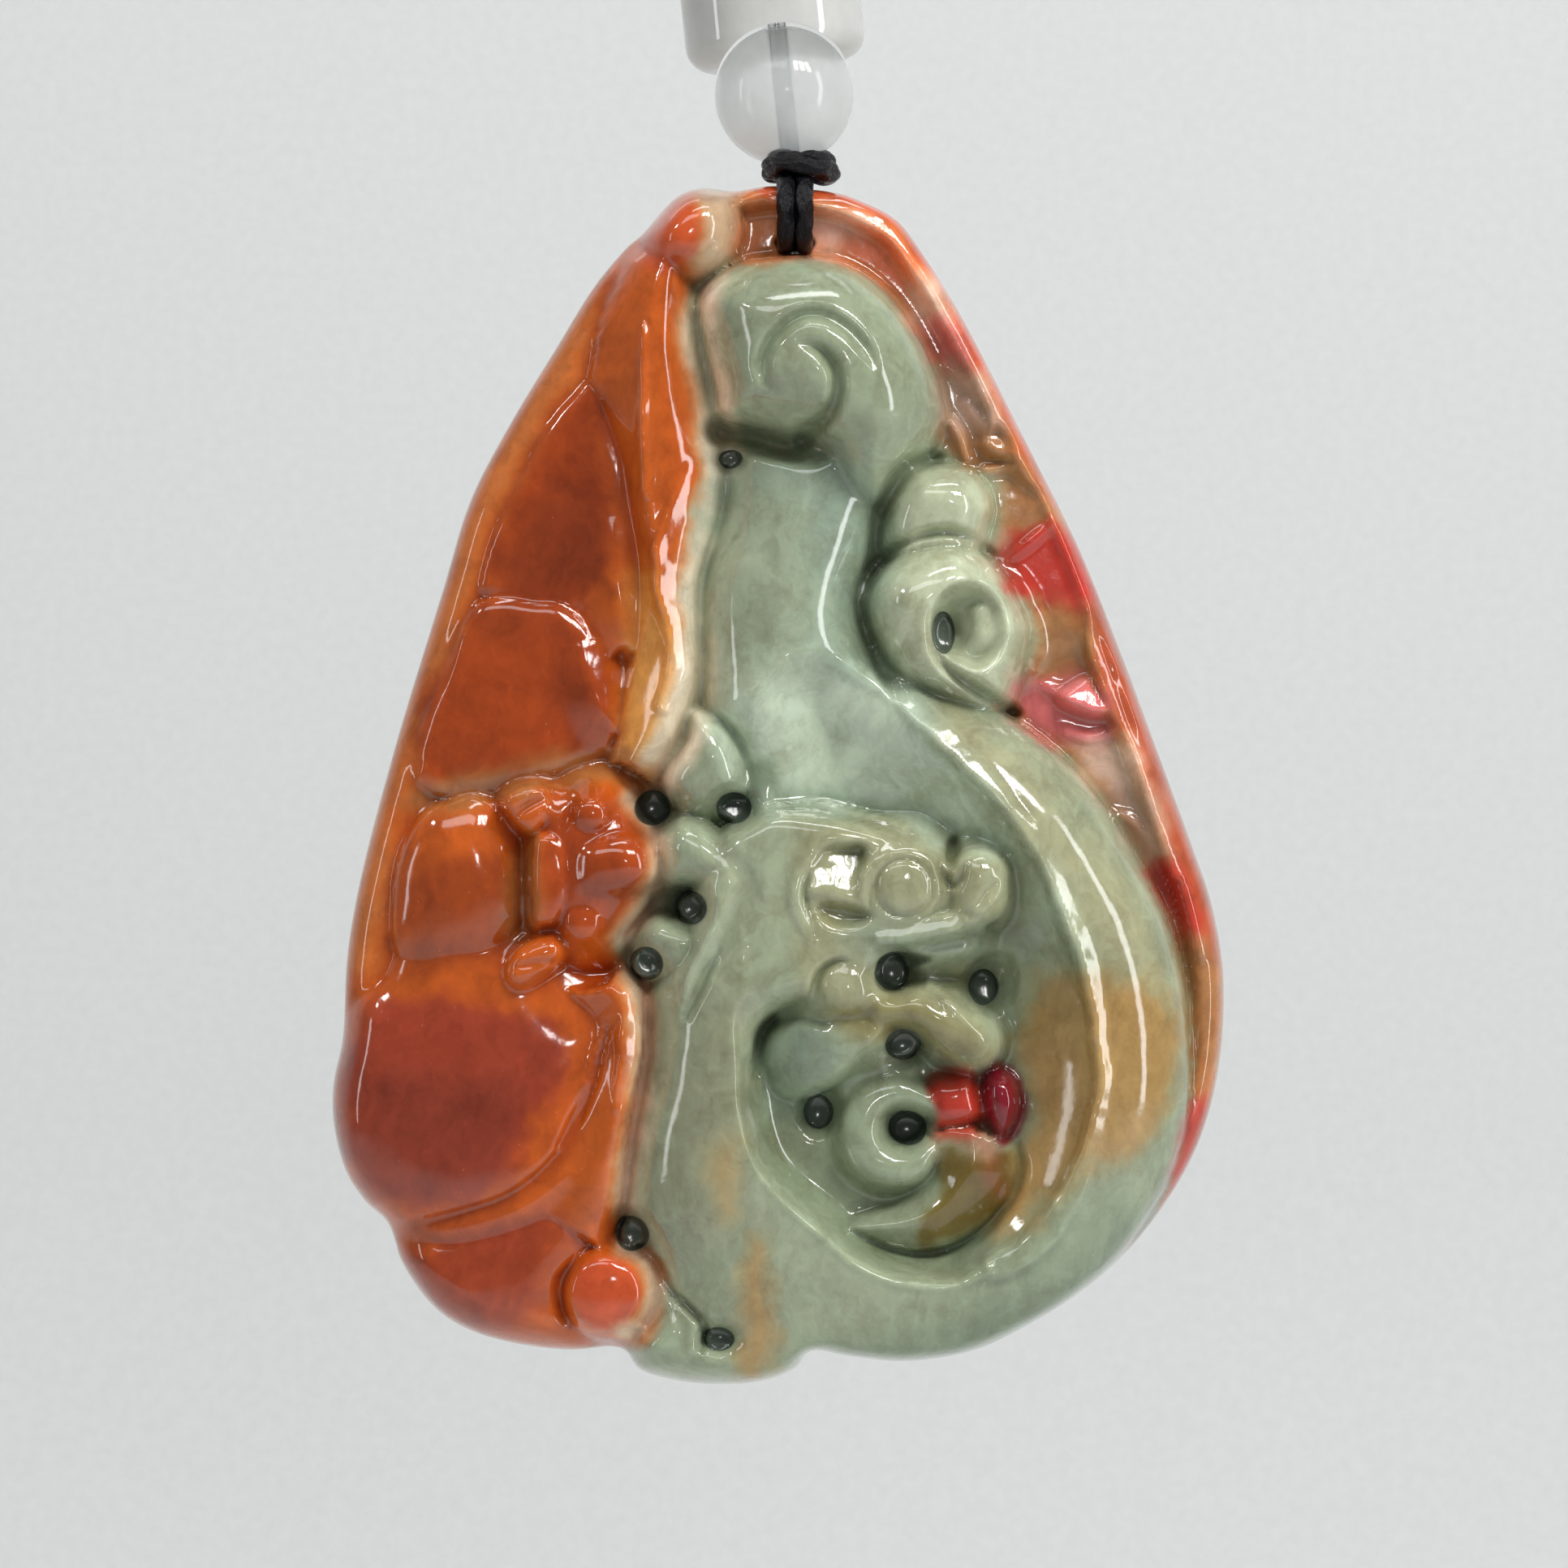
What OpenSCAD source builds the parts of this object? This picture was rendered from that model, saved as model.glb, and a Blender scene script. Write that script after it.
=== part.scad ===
/* [Carving] */
// Height of the carved pendant, from its top edge to its lowest lobe
carving_h = 51.75; // [50:0.25:70]
// Height of the back plate over the back, on the bat's side
plate_h = 4.4; // [3.8:0.1:4.8]
// Height of the sunk ground beside the dragon
ground_h = 3.2; // [2.8:0.1:3.6]
// How far the rim on the dragon's side stands over the ground
rim_h = 1.3; // [0.4:0.1:1.6]
// Height of the carving's widest edge over the back
edge_h = 2; // [1.6:0.1:2.4]
// How far in from the edge the back is rounded
back_round = 1.8; // [1:0.1:2.5]

/* [Cord] */
// Diameter of the hole drilled for the cord
hole_d = 1.9; // [1.9:0.05:2.1]
// Diameter of one strand of the black cord
strand_d = 0.84; // [0.6:0.02:0.84]
// Width of the knot
knot_w = 3.4; // [3:0.1:3.8]

/* [Beads] */
// Diameter of the round bead
bead_d = 6; // [5:0.1:7]
// Diameter of the bore through the round bead
bead_bore = 1; // [0.9:0.05:1.6]
// Diameter of the barrel bead
barrel_d = 7.8; // [7:0.1:9]
// Length of the barrel bead
barrel_l = 8; // [6:0.25:12]
// Diameter of the bore through the barrel bead
barrel_bore = 1.2; // [0.9:0.05:2]

/* [Hanging] */
// Diameter of the clear thread
thread_d = 0.36; // [0.3:0.02:0.4]
// Height of the thread's loop over the barrel bead
loop_h = 8; // [6:0.5:12]
// Width of the thread's loop
loop_w = 3.6; // [2.5:0.1:5]
// Angle by which the beads lean to the left going up
lean = 6; // [0:1:8]

/* [Hidden] */

// The carving is drawn in millimetres across and up from the middle of the ruyi's top edge
drawn_h = 51.75;
k = carving_h / drawn_h;
hole_at = [0.15, 0.75];
back_y = 2.3;
small_gap = 0.05;

// Distances down the beads' leaning line from the hanging point
barrel_down = loop_h + 0.2;
saddle_gap = 0.1;
bead_down = barrel_down + barrel_l + 1.3;
wrap_d = 0.8;
wrap_pitch = 0.38;
wrap_r = (knot_w - wrap_d) / 2;
wrap_down = bead_down + sqrt(pow(bead_d / 2 + small_gap + wrap_d / 2, 2) - pow(wrap_r, 2));
knot_bottom = wrap_down + wrap_pitch + wrap_d / 2;
// Where the carving hangs under the knot
knot_clear = 2.7 * k;
hole_x = bead_down * sin(lean) + 0.5;
hole_z = -knot_bottom * cos(lean) - knot_clear;

function clip(x) = max(0, min(1, x));
function ease(x) = let (t = clip(x)) t * t * (3 - 2 * t);
// The larger of two heights, with a fillet of the given size between them
function soft_max(a, b, s) = let (t = clip(0.5 + 0.5 * (a - b) / s)) b + (a - b) * t + s * t * (1 - t);

// A smooth curve through the rows of a table, all columns alike
function curve_row(a, b, c, d, t) =
    0.5 * (2 * b + (c - a) * t + (2 * a - 5 * b + 4 * c - d) * t * t + (3 * b - a - 3 * c + d) * t * t * t);
function closed_curve(rows, steps) = let (n = len(rows))
    [for (i = [0:n - 1]) for (s = [0:steps - 1])
        curve_row(rows[(i + n - 1) % n], rows[i], rows[(i + 1) % n], rows[(i + 2) % n], s / steps)];
function open_curve(rows, steps) = let (n = len(rows)) n == 1 ? rows : concat(
    [for (i = [0:n - 2]) for (s = [0:steps - 1])
        curve_row(rows[max(i - 1, 0)], rows[i], rows[i + 1], rows[min(i + 2, n - 1)], s / steps)], [rows[n - 1]]);

// The forms of the relief. A lobe and a hollow have an outline of rows across, up.
// A roll has rows across, up, half width, crest height.
curve_steps = 2;
wall_slope = 3;
function box_of(path, margin) = let (x = [for (r = path) r[0]], y = [for (r = path) r[1]])
    [min(x) - margin, max(x) + margin, min(y) - margin, max(y) + margin];
function lobe(peak, crest, fall, foot, edge, soft, outline) = let (path = closed_curve(outline, curve_steps))
    ["lobe", path, box_of(path, 2), peak, crest, fall, foot, edge, soft];
function hollow(floor, wall, outline) = let (path = closed_curve(outline, curve_steps))
    ["hollow", path, box_of(path, 0), floor, wall];
function roll(drop, slope, soft, rows) = let (path = open_curve(rows, curve_steps))
    ["roll", path, box_of(path, 3), drop, slope, soft];

// The outer edge of the whole carving, clockwise from the top. Columns: across, up
edge_rows = [
    [0.4, 3], [2, 2.8], [3, 2.45], [4.4, 1.75], [5.4, 0.6], [7.4, -2.6], [10, -7.65], [12.4, -12.45],
    [14.2, -16.9], [15.5, -20.4], [17.3, -25.3], [18.2, -28], [18.7, -31.2], [18.5, -34.9], [17.7, -38],
    [16.4, -40.5], [14.5, -42.95], [12.4, -44.7], [10.2, -46.05], [7.8, -47.15], [4.9, -47.6], [2.4, -47.35],
    [0.85, -47.1], [0.2, -47.9], [-1.2, -48.45], [-3.3, -48.65], [-5.2, -48.45], [-6.6, -48], [-7.4, -47.1],
    [-9.6, -47.2], [-11.8, -46.95], [-13.9, -46.35], [-15.5, -45.3], [-16.8, -43.5], [-17.2, -42.3],
    [-17.6, -41.5], [-18.4, -40.8], [-19.3, -39.4], [-19.8, -37.4], [-19.8, -35.6], [-19.4, -33.6],
    [-19.2, -30], [-18.5, -26.2], [-17, -20.6], [-15.1, -14.4], [-13.9, -10.5], [-12.2, -7.2],
    [-10.2, -3.9], [-8.6, -1.3], [-7.2, 0.4], [-6.4, 1.1], [-5, 2.6], [-3.8, 3.02], [-2.4, 2.9], [-1, 3.1]];

function bat_forms() = [
    lobe([-8, -11], 5.6, 2.2, 4.3, 0.8, 0.2, [
        [-8.7, -5.7], [-9.9, -6.6], [-10.8, -7.5], [-11.6, -9], [-12.3, -10.8], [-12.9, -12.6], [-13.1, -14.3],
        [-9.5, -15.4], [-6, -13], [-6.4, -9.8], [-7.2, -7.4], [-7.9, -5.9]]),
    lobe([-9.2, -19.5], 6.1, 2.2, 4.4, 0.8, 0.2, [
        [-15.9, -22.3], [-15.9, -20.9], [-15.5, -19.3], [-14.8, -17.8], [-14.4, -16.5], [-13.9, -15.4],
        [-13, -14.75], [-11.8, -14.65], [-10.4, -14.7], [-9, -15.4], [-8.1, -16.7], [-7.3, -18.2],
        [-6.6, -19.8], [-6.6, -21.8], [-8.5, -23.2], [-11.5, -23.6], [-14.5, -23.4]]),
    roll(0.8, 1.2, 0.5, [[-8.6, -11.2, 0.7, 5.9], [-7.8, -13.2, 1.2, 6.4], [-7.1, -15.4, 1.5, 6.8],
        [-6.4, -17.8, 1.4, 7]]),
    roll(1.4, 2, 0.35, [
        [-5.2, -0.6, 1.5, 6.1], [-5.8, -2.4, 2.1, 6.7], [-6, -4.5, 2.35, 7], [-5.7, -6.8, 2.2, 7.2],
        [-4.9, -9.3, 1.95, 7.2], [-4.75, -11.4, 1.65, 7.2], [-5.4, -13.6, 1.5, 7.2], [-5.7, -16.5, 1.85, 7.2],
        [-5.7, -18.8, 1.8, 7.1], [-6.3, -20.5, 1.5, 6.9], [-7, -21.8, 1.1, 6.5]]),
    lobe([-4.4, 0.9], 6.6, 14, 4.2, 1.1, 0.2, [
        [-6.45, 0.9], [-6.2, 0.1], [-5.5, -0.8], [-4.3, -1.2], [-3.2, -0.9], [-2.4, -0.1], [-2.1, 1], [-2.3, 2.1],
        [-3.1, 3.4], [-4.6, 3.6], [-6, 2.6]]),
    lobe([-13, -27.2], 6.6, 6, 4.4, 1, 0.2, [
        [-14, -23.2], [-15.3, -23.7], [-16.1, -24.5], [-16.6, -25.7], [-16.95, -27.3], [-17.1, -29],
        [-16.8, -30.3], [-16.1, -31], [-15.2, -31.3], [-14, -31.3], [-12.8, -30.8], [-11.7, -29.7],
        [-11.2, -27.6], [-11.5, -25.5], [-12.1, -24], [-13, -23.2]]),
    lobe([-7.9, -26.3], 7.7, 7, 5, 1.3, 0.3, [
        [-12.3, -23.3], [-11.2, -22.6], [-9.6, -22.6], [-7.8, -23], [-6.5, -23.7], [-5.8, -24.6], [-5.55, -26],
        [-5.8, -27.3], [-6.5, -28.5], [-7.3, -29.5], [-8.2, -30.3], [-9.6, -30.8], [-10.9, -30], [-11, -28.5],
        [-10.8, -27], [-10.9, -25.4], [-12.2, -24.6]]),
    roll(0.7, 1, 0.3, [[-7.4, -26.2, 1.8, 8.1]]),
    roll(0.5, 1, 0.15, [[-8.5, -24.05, 0.75, 7.7]]),
    roll(0.5, 1, 0.15, [[-8.75, -28.4, 0.8, 7.7]]),
    roll(0.4, 1, 0.2, [[-10.1, -25.6, 0.7, 7.2], [-10, -28, 0.7, 7.2]]),
    roll(0.6, 2, 0.2, [[-11.6, -23.6, 0.8, 6.7], [-10.9, -24.2, 0.8, 6.9]]),
    roll(0.8, 2, 0.2, [[-9.6, -29.7, 0.9, 7.1], [-11.5, -30.8, 0.95, 6.7]]),
    lobe([-13.5, -35], 6.1, 1.8, 4.2, 1, 0.2, [
        [-20.4, -36], [-19.5, -33.3], [-18.3, -31.7], [-17, -30.6], [-14.5, -30.9], [-11.5, -31.8],
        [-9, -32.3], [-7.8, -33.6], [-8.4, -36], [-9.3, -38.3], [-10.8, -40], [-12.4, -40.9], [-14, -41.4],
        [-15.6, -41.6], [-17, -41.7], [-18.7, -41], [-20, -39.4], [-20.6, -37.6]]),
    lobe([-10.5, -42.2], 6.2, 3, 4, 1, 0.2, [
        [-17.6, -42.4], [-16.4, -41.9], [-14, -41.6], [-11.8, -40.6], [-10.2, -38.8], [-9.2, -36.6],
        [-8.5, -34.8], [-8.3, -33], [-7.9, -31.2], [-6.8, -31], [-6.2, -32.5], [-6.4, -35], [-6.9, -38],
        [-7.2, -41], [-7.8, -43], [-8.6, -45], [-8.4, -47.5], [-12, -47.7], [-15.2, -46.6], [-17.2, -44.4]]),
    roll(0.7, 0.9, 0.5, [[-7.2, -31.9, 0.9, 6.9], [-7.1, -34, 0.8, 7], [-7.6, -36.4, 0.9, 7],
        [-8.1, -38.5, 1.1, 6.8], [-8.9, -40.4, 1.3, 6.5]]),
    roll(1.3, 1.5, 0.3, [[-7.6, -44.6, 2.1, 6.4]]),
    roll(0.6, 1.5, 0.15, [[-7.9, -44.4, 1.5, 6.8]])];

function dragon_forms() = [
    lobe([6.2, -11], 6.6, 6, 3.2, 1.6, 0.3, [
        [4.1, -10.3], [4.9, -9.2], [6.2, -8.8], [7.5, -9.1], [8.4, -9.6], [8.7, -10.6], [8.6, -11.7],
        [8.1, -12.9], [5.5, -14], [3.2, -13.6], [3.2, -12]]),
    lobe([6.2, -15.5], 8, 5, 3.4, 1.8, 0.3, [
        [3.1, -15], [3.2, -14], [3.8, -13.1], [4.9, -12.5], [6.4, -12.2], [7.9, -12.5], [9, -13.3],
        [9.9, -14.9], [10.3, -16.3], [10.1, -17.6], [9.7, -18.7], [9.2, -19.9], [6.5, -19.6], [4.5, -18.2],
        [3.6, -16.8]]),
    lobe([5, -26], 8.9, 0.5, 3.4, 2.4, 0.4, [
        [-3, -7.4], [0, -6.5], [4.4, -7], [5, -9], [4, -10.3], [3.4, -12], [3, -13.8], [3.1, -15.5],
        [4.2, -17.4], [6, -18.45], [8, -19.4], [9.5, -20.1], [11.4, -21.4], [13.1, -23.2], [14.6, -25.6],
        [16, -28.1], [16.9, -31], [17.2, -34], [17.05, -37], [16.2, -39.8], [14.8, -42], [12.9, -44.6],
        [10.2, -46.9], [7.8, -48.2], [4, -48.8], [-1, -49.6], [-5, -49.4], [-7.8, -48], [-6.6, -46.4],
        [-5.5, -44.6], [-5.9, -43], [-7, -42.2], [-7.15, -40], [-6.9, -37.5], [-6.4, -35], [-6.15, -33],
        [-6.2, -31.5], [-5.4, -29.5], [-4.2, -27], [-3, -24], [-2.4, -21.6], [-3.8, -19.6], [-3.9, -17],
        [-4, -14.8], [-3.7, -13], [-3, -11.4], [-2.85, -9.8]]),
    lobe([1.4, -4.8], 9.3, 3.6, 4.2, 1.8, 0.5, [
        [-4, -1.9], [-3.3, -0.9], [-2, -0.3], [-0.8, -0.1], [1, -0.1], [2.2, -0.4], [3.6, -1.3], [4.9, -2.6],
        [5.9, -4.2], [6.4, -5.8], [6.5, -7.2], [6.2, -8.3], [5.2, -9.6], [3.6, -10.4], [1.8, -9.4],
        [-0.2, -8.2], [-1.6, -7.6], [-3.1, -7], [-3.5, -5.5], [-3.8, -3.6]]),
    hollow(5, 4.2, [
        [-1.8, -20.5], [-1, -17.5], [0.6, -16.6], [2.3, -17.3], [4.4, -18.7], [6.1, -20.2], [8.5, -22.8],
        [10.2, -24.9], [11.5, -27.2], [12.4, -29.8], [13, -33], [13, -35.5], [12.4, -38.2], [11.3, -40.6],
        [9.8, -42.5], [7.6, -43.6], [5, -43.9], [2.9, -43.1], [1.2, -41.8], [-0.4, -40.6], [-1.7, -38.8],
        [-2.2, -36.8], [-2.2, -34.8], [-1.9, -33], [-2, -30], [-2.4, -27], [-2.4, -23.6]]),
    hollow(5.2, 1.5, [
        [6.1, -15.3], [6.9, -14.5], [8, -14.4], [8.8, -15.2], [9, -16.4], [8.7, -17.6], [7.8, -18.3],
        [6.9, -17.9], [6.1, -16.9], [5.9, -16.1]]),
    lobe([-5.4, -45.8], 7, 14, 4.6, 1, 0.25, [
        [-6, -42.9], [-5.3, -44.2], [-4.3, -44.9], [-3.6, -45.7], [-3.8, -46.7], [-4.6, -47.5], [-5.6, -47.8],
        [-6.8, -47.6], [-7.5, -46.9], [-6.6, -46.4], [-5.7, -45.4], [-5.6, -44.2]])];

function head_forms() = [
    lobe([-3.2, -21.6], 7.4, 12, 5.2, 1.2, 0.3, [
        [-4.2, -19.5], [-3.2, -19.8], [-2.5, -20.5], [-2, -21.3], [-1.7, -22.2], [-1.2, -23.1], [-1.9, -24.3],
        [-3.4, -24.4], [-4.6, -24.2], [-5.4, -23.2], [-5.5, -22.2], [-4.6, -20.8]]),
    lobe([-2, -25.8], 8, 6, 5.4, 1.2, 0.3, [
        [-5.3, -24.2], [-4.2, -24.1], [-2.8, -24.5], [-1, -24.2], [0.5, -24.6], [0.5, -26.5], [-1.2, -27.5],
        [-3, -28], [-4.2, -27.3], [-5.3, -27], [-5.7, -26], [-5.8, -25]]),
    lobe([-4.8, -29.6], 7.2, 10, 5.2, 1, 0.2, [
        [-5.9, -28.2], [-5, -28.5], [-3.9, -28.8], [-3.2, -29.2], [-3.7, -30.1], [-4.4, -30.9], [-5.2, -31.2],
        [-6.2, -31.2], [-6.8, -30.5], [-6.8, -29.5], [-6.4, -28.7]]),
    lobe([2, -29], 8.8, 1.8, 5.2, 1.5, 0.5, [
        [-2.6, -24.6], [-1, -23.5], [1, -23.8], [3.8, -24.4], [5.5, -24.9], [6.4, -25.6], [7.2, -26],
        [8.6, -26.4], [8.8, -28], [8.5, -29.2], [7.8, -30.4], [7, -31.4], [7.6, -32.2], [7, -33.6],
        [5.6, -33.4], [4.6, -33.2], [3.4, -33.8], [2, -34.6], [0.8, -33.5], [-1.4, -32.6], [-2.6, -34.5],
        [-3.6, -31.5], [-3.4, -28]]),
    hollow(7.3, 1, [
        [0.15, -27.3], [0.6, -26], [1.8, -25.4], [3.6, -25.3], [5.2, -25.1], [6.4, -25.8], [6.9, -27.1],
        [6.3, -28.4], [4.8, -29], [3, -28.8], [1.4, -28.9], [0.5, -28.4]]),
    roll(1, 2, 0.2, [[4.75, -27.05, 1.75, 8.4]]),
    roll(1.3, 2, 0.3, [[7.85, -27, 1.4, 8.9], [7.8, -28, 1.1, 8.7]]),
    lobe([1.2, -33.4], 8, 9, 5.2, 1.5, 0.3, [
        [-1.6, -34.6], [-1.4, -33.6], [-0.8, -32.8], [0.2, -32.3], [1.2, -32.6], [2.4, -32.8], [4, -32.4],
        [4.4, -33.2], [3.5, -34.1], [2.4, -35.2], [1.2, -36], [0, -36], [-1, -35.6]]),
    roll(1.3, 2.5, 0.5, [[4.4, -32.2, 0.9, 8.3], [6.2, -32.7, 1.2, 8.4], [7.7, -33.55, 1.3, 8.3]]),
    roll(0.4, 1.5, 0.3, [[2.25, -31.4, 1, 8.9]]),
    roll(0.5, 1, 0.5, [[2.9, -35.6, 1.2, 6.6], [4.4, -35, 1.1, 6.6]]),
    roll(0.9, 2, 0.3, [[4.4, -36.4, 0.7, 6.7], [3.5, -37.1, 0.95, 7], [3.5, -38.2, 1, 7.1],
        [4.4, -38.8, 1, 7.1], [5.4, -38.4, 0.9, 7]]),
    roll(0.6, 1, 0.5, [[6.6, -35.9, 1.1, 6.9], [7, -37.2, 1, 6.8]]),
    roll(0.8, 1.5, 0.4, [[8.8, -35.7, 0.95, 7.3], [9, -36.9, 0.85, 7.2]]),
    lobe([8, -38.2], 7.3, 4, 5, 0.8, 0.25, [
        [6.2, -36.4], [8, -35.6], [9.6, -36.6], [9.7, -38.3], [9.2, -40], [8.1, -41.5], [6.6, -42.3],
        [5, -42.5], [3.4, -42.2], [2.4, -41.7], [3.6, -40.6], [5.2, -40], [6, -38.8]])];

// Drilled pits. Columns: across, up, diameter, height of the floor over the back
pits = [
    [4.28, -30.7, 1.45, 5.2], [8.14, -31.45, 1.25, 4.6], [4.7, -33.8, 1.5, 4.6], [1.16, -36.7, 1.25, 4.2],
    [4.9, -37.4, 1.6, 4], [-5.9, -23.75, 1.45, 4.2], [-2.4, -23.75, 1.45, 4.6], [-4.3, -28, 1.35, 4.4],
    [-6.2, -30.4, 1.45, 4.2], [-6.8, -42, 1.45, 4], [-3, -46.3, 1.3, 4.4], [-2.6, -8.75, 1.1, 4.4],
    [6.4, -16.35, 1.2, 3.6]];

// Distance from a point to one straight stretch of a path
function along(p, a, b) = let (d = [b[0] - a[0], b[1] - a[1]])
    clip(((p[0] - a[0]) * d[0] + (p[1] - a[1]) * d[1]) / (d[0] * d[0] + d[1] * d[1]));
function stretch_distance(p, a, b) = let (t = along(p, a, b))
    norm([p[0] - a[0] - t * (b[0] - a[0]), p[1] - a[1] - t * (b[1] - a[1])]);
function crosses(p, a, b) = (a[1] > p[1]) != (b[1] > p[1])
    && p[0] < (b[0] - a[0]) * (p[1] - a[1]) / (b[1] - a[1]) + a[0];
// Distance in from a closed outline, less than nought outside it
function depth_inside(p, path) = let (n = len(path),
    distance = min([for (i = [0:n - 1]) stretch_distance(p, path[i], path[(i + 1) % n])]),
    crossings = len([for (i = [0:n - 1]) if (crosses(p, path[i], path[(i + 1) % n])) 1]))
    crossings % 2 == 1 ? distance : -distance;

function lobe_height(p, form) = let (d = depth_inside(p, form[1]), foot = form[6],
    from_peak = [p[0] - form[3][0], p[1] - form[3][1]],
    top = max(foot + 0.4, form[4] - form[5] * (from_peak * from_peak) / 100), e = clip(d / form[7]))
    d < 0 ? foot + wall_slope * d : foot + (top - foot) * sqrt(1 - (1 - e) * (1 - e));
function roll_section(distance, half_w, crest, form) = let (q = distance / half_w)
    crest - (q > 1 ? form[3] + form[4] * (distance - half_w) : form[3] * (1 - sqrt(1 - q * q)));
function roll_height(p, form) = let (path = form[1], n = len(path)) n == 1
    ? roll_section(norm([p[0] - path[0][0], p[1] - path[0][1]]), path[0][2], path[0][3], form)
    : max([for (i = [0:n - 2]) let (a = path[i], b = path[i + 1], t = along(p, a, b))
        roll_section(stretch_distance(p, a, b), a[2] + t * (b[2] - a[2]), a[3] + t * (b[3] - a[3]), form)]);
function hollow_height(p, form, h) = let (d = depth_inside(p, form[1]), e = clip(d / form[4]))
    d > 0 ? min(h, h - (h - form[3]) * (1 - (1 - e) * (1 - e))) : h;

// The height at a point after one form, and after all of them in turn
function after(form, p, h) = let (box = form[2])
    p[0] < box[0] || p[0] > box[1] || p[1] < box[2] || p[1] > box[3] ? h
    : form[0] == "lobe" ? soft_max(h, lobe_height(p, form), form[8])
    : form[0] == "roll" ? soft_max(h, roll_height(p, form), form[5])
    : hollow_height(p, form, h);
function relief(forms, p, h, i = 0) = i == len(forms) ? h : relief(forms, p, after(forms[i], p, h), i + 1);

// The plate under the forms, with its rim on the dragon's side
rim_w = 1.5;
function plate(p, inset) = let (side = ease((-2.6 - p[0]) / 2), across = (inset - 0.7) / (rim_w / 2))
    ground_h + (plate_h - ground_h) * side + rim_h * (1 - side) * sqrt(clip(1 - across * across));
function edge_rounded(h, inset) = let (e = clip(inset / (0.5 + 0.38 * (h - edge_h))))
    edge_h + (h - edge_h) * sqrt(1 - (1 - e) * (1 - e));

// The carving's surface runs on rays from its middle to its edge, over the edge and back behind
middle = [-0.6, -25];
inner_rows = 34;
inner_end = 2.2;
edge_insets = [1.5, 0.9, 0.45, 0.15];
back_insets = [0.25, 0.8, 1.8];
front_rows = inner_rows + len(edge_insets);
function inset_of(reach, row) = row > inner_rows ? edge_insets[row - inner_rows - 1]
    : reach - (reach - inner_end) * row / inner_rows;
function ray_point(out, inset) = let (f = 1 - inset / norm(out)) [middle[0] + f * out[0], middle[1] + f * out[1]];
// The strokes between neighbouring points are worn smooth, but not at the edge
function worn(rows) = let (n = len(rows[0]))
    [for (j = [0:len(rows) - 1]) j == 0 || j > inner_rows - 2 ? rows[j] : [for (i = [0:n - 1])
        0.44 * rows[j][i] + 0.14 * (rows[j - 1][i] + rows[j + 1][i] + rows[j][(i + 1) % n] + rows[j][(i + n - 1) % n])]];
function carving_points(forms) = let (
    rim = closed_curve(edge_rows, curve_steps), n = len(rim),
    outs = [for (r = rim) [r[0] - middle[0], r[1] - middle[1]]],
    normals = [for (i = [0:n - 1]) let (d = rim[(i + 1) % n] - rim[(i + n - 1) % n]) [-d[1], d[0]] / norm(d)],
    steep = [for (i = [0:n - 1]) abs(outs[i] * normals[i]) / norm(outs[i])],
    carved = [for (row = [1:front_rows]) [for (i = [0:n - 1])
        let (inset = inset_of(norm(outs[i]), row), p = ray_point(outs[i], inset))
            relief(forms, p, plate(p, inset * steep[i]))]],
    heights = worn(worn(carved)))
    concat(
        [[middle[0], back_y - relief(forms, middle, plate(middle, 20)), middle[1]]],
        [for (row = [1:front_rows]) for (i = [0:n - 1])
            let (inset = inset_of(norm(outs[i]), row), p = ray_point(outs[i], inset))
            [p[0], back_y - edge_rounded(heights[row - 1][i], inset * steep[i]), p[1]]],
        [for (r = rim) [r[0], back_y - edge_h, r[1]]],
        [for (inset = back_insets) for (i = [0:n - 1])
            let (p = ray_point(outs[i], inset), e = clip(inset * steep[i] / back_round))
            [p[0], back_y - edge_h + edge_h * sqrt(1 - (1 - e) * (1 - e)), p[1]]],
        [[middle[0], back_y, middle[1]]]);
function ring_faces(n, rings) = let (last = 1 + rings * n) concat(
    [for (i = [0:n - 1]) [0, 1 + i, 1 + (i + 1) % n]],
    [for (r = [0:rings - 2]) for (i = [0:n - 1])
        let (a = 1 + r * n + i, b = 1 + r * n + (i + 1) % n) each [[a, a + n, b + n], [a, b + n, b]]],
    [for (i = [0:n - 1]) [1 + (rings - 1) * n + i, last, 1 + (rings - 1) * n + (i + 1) % n]]);

// Everything on the carving is placed from its cord hole
module at_carving() {
    translate([hole_x - k * hole_at[0], 0, hole_z - k * hole_at[1]]) scale(k) children();
}
// Everything on the beads' line is placed by its distance down from the hanging point
module down_line(distance) { rotate([0, -lean, 0]) translate([0, 0, -distance]) children(); }

module pit(p) {
    depth = 12;
    translate([p[0], back_y - p[3] - p[2] / 2, p[1]]) {
        rotate([90, 0, 0]) cylinder(d = p[2], h = depth, $fn = 32);
        sphere(d = p[2], $fn = 32);
    }
}

module jade_carving() {
    rings = front_rows + 1 + len(back_insets);
    points = carving_points(concat(bat_forms(), dragon_forms(), head_forms()));
    color("#a8a07c") difference() {
        at_carving() polyhedron(points = points, faces = ring_faces(len(edge_rows) * curve_steps, rings));
        at_carving() for (p = pits) pit(p);
        translate([hole_x, 20, hole_z]) rotate([90, 0, 0]) cylinder(d = hole_d, h = 40, $fn = 48);
    }
}

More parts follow.
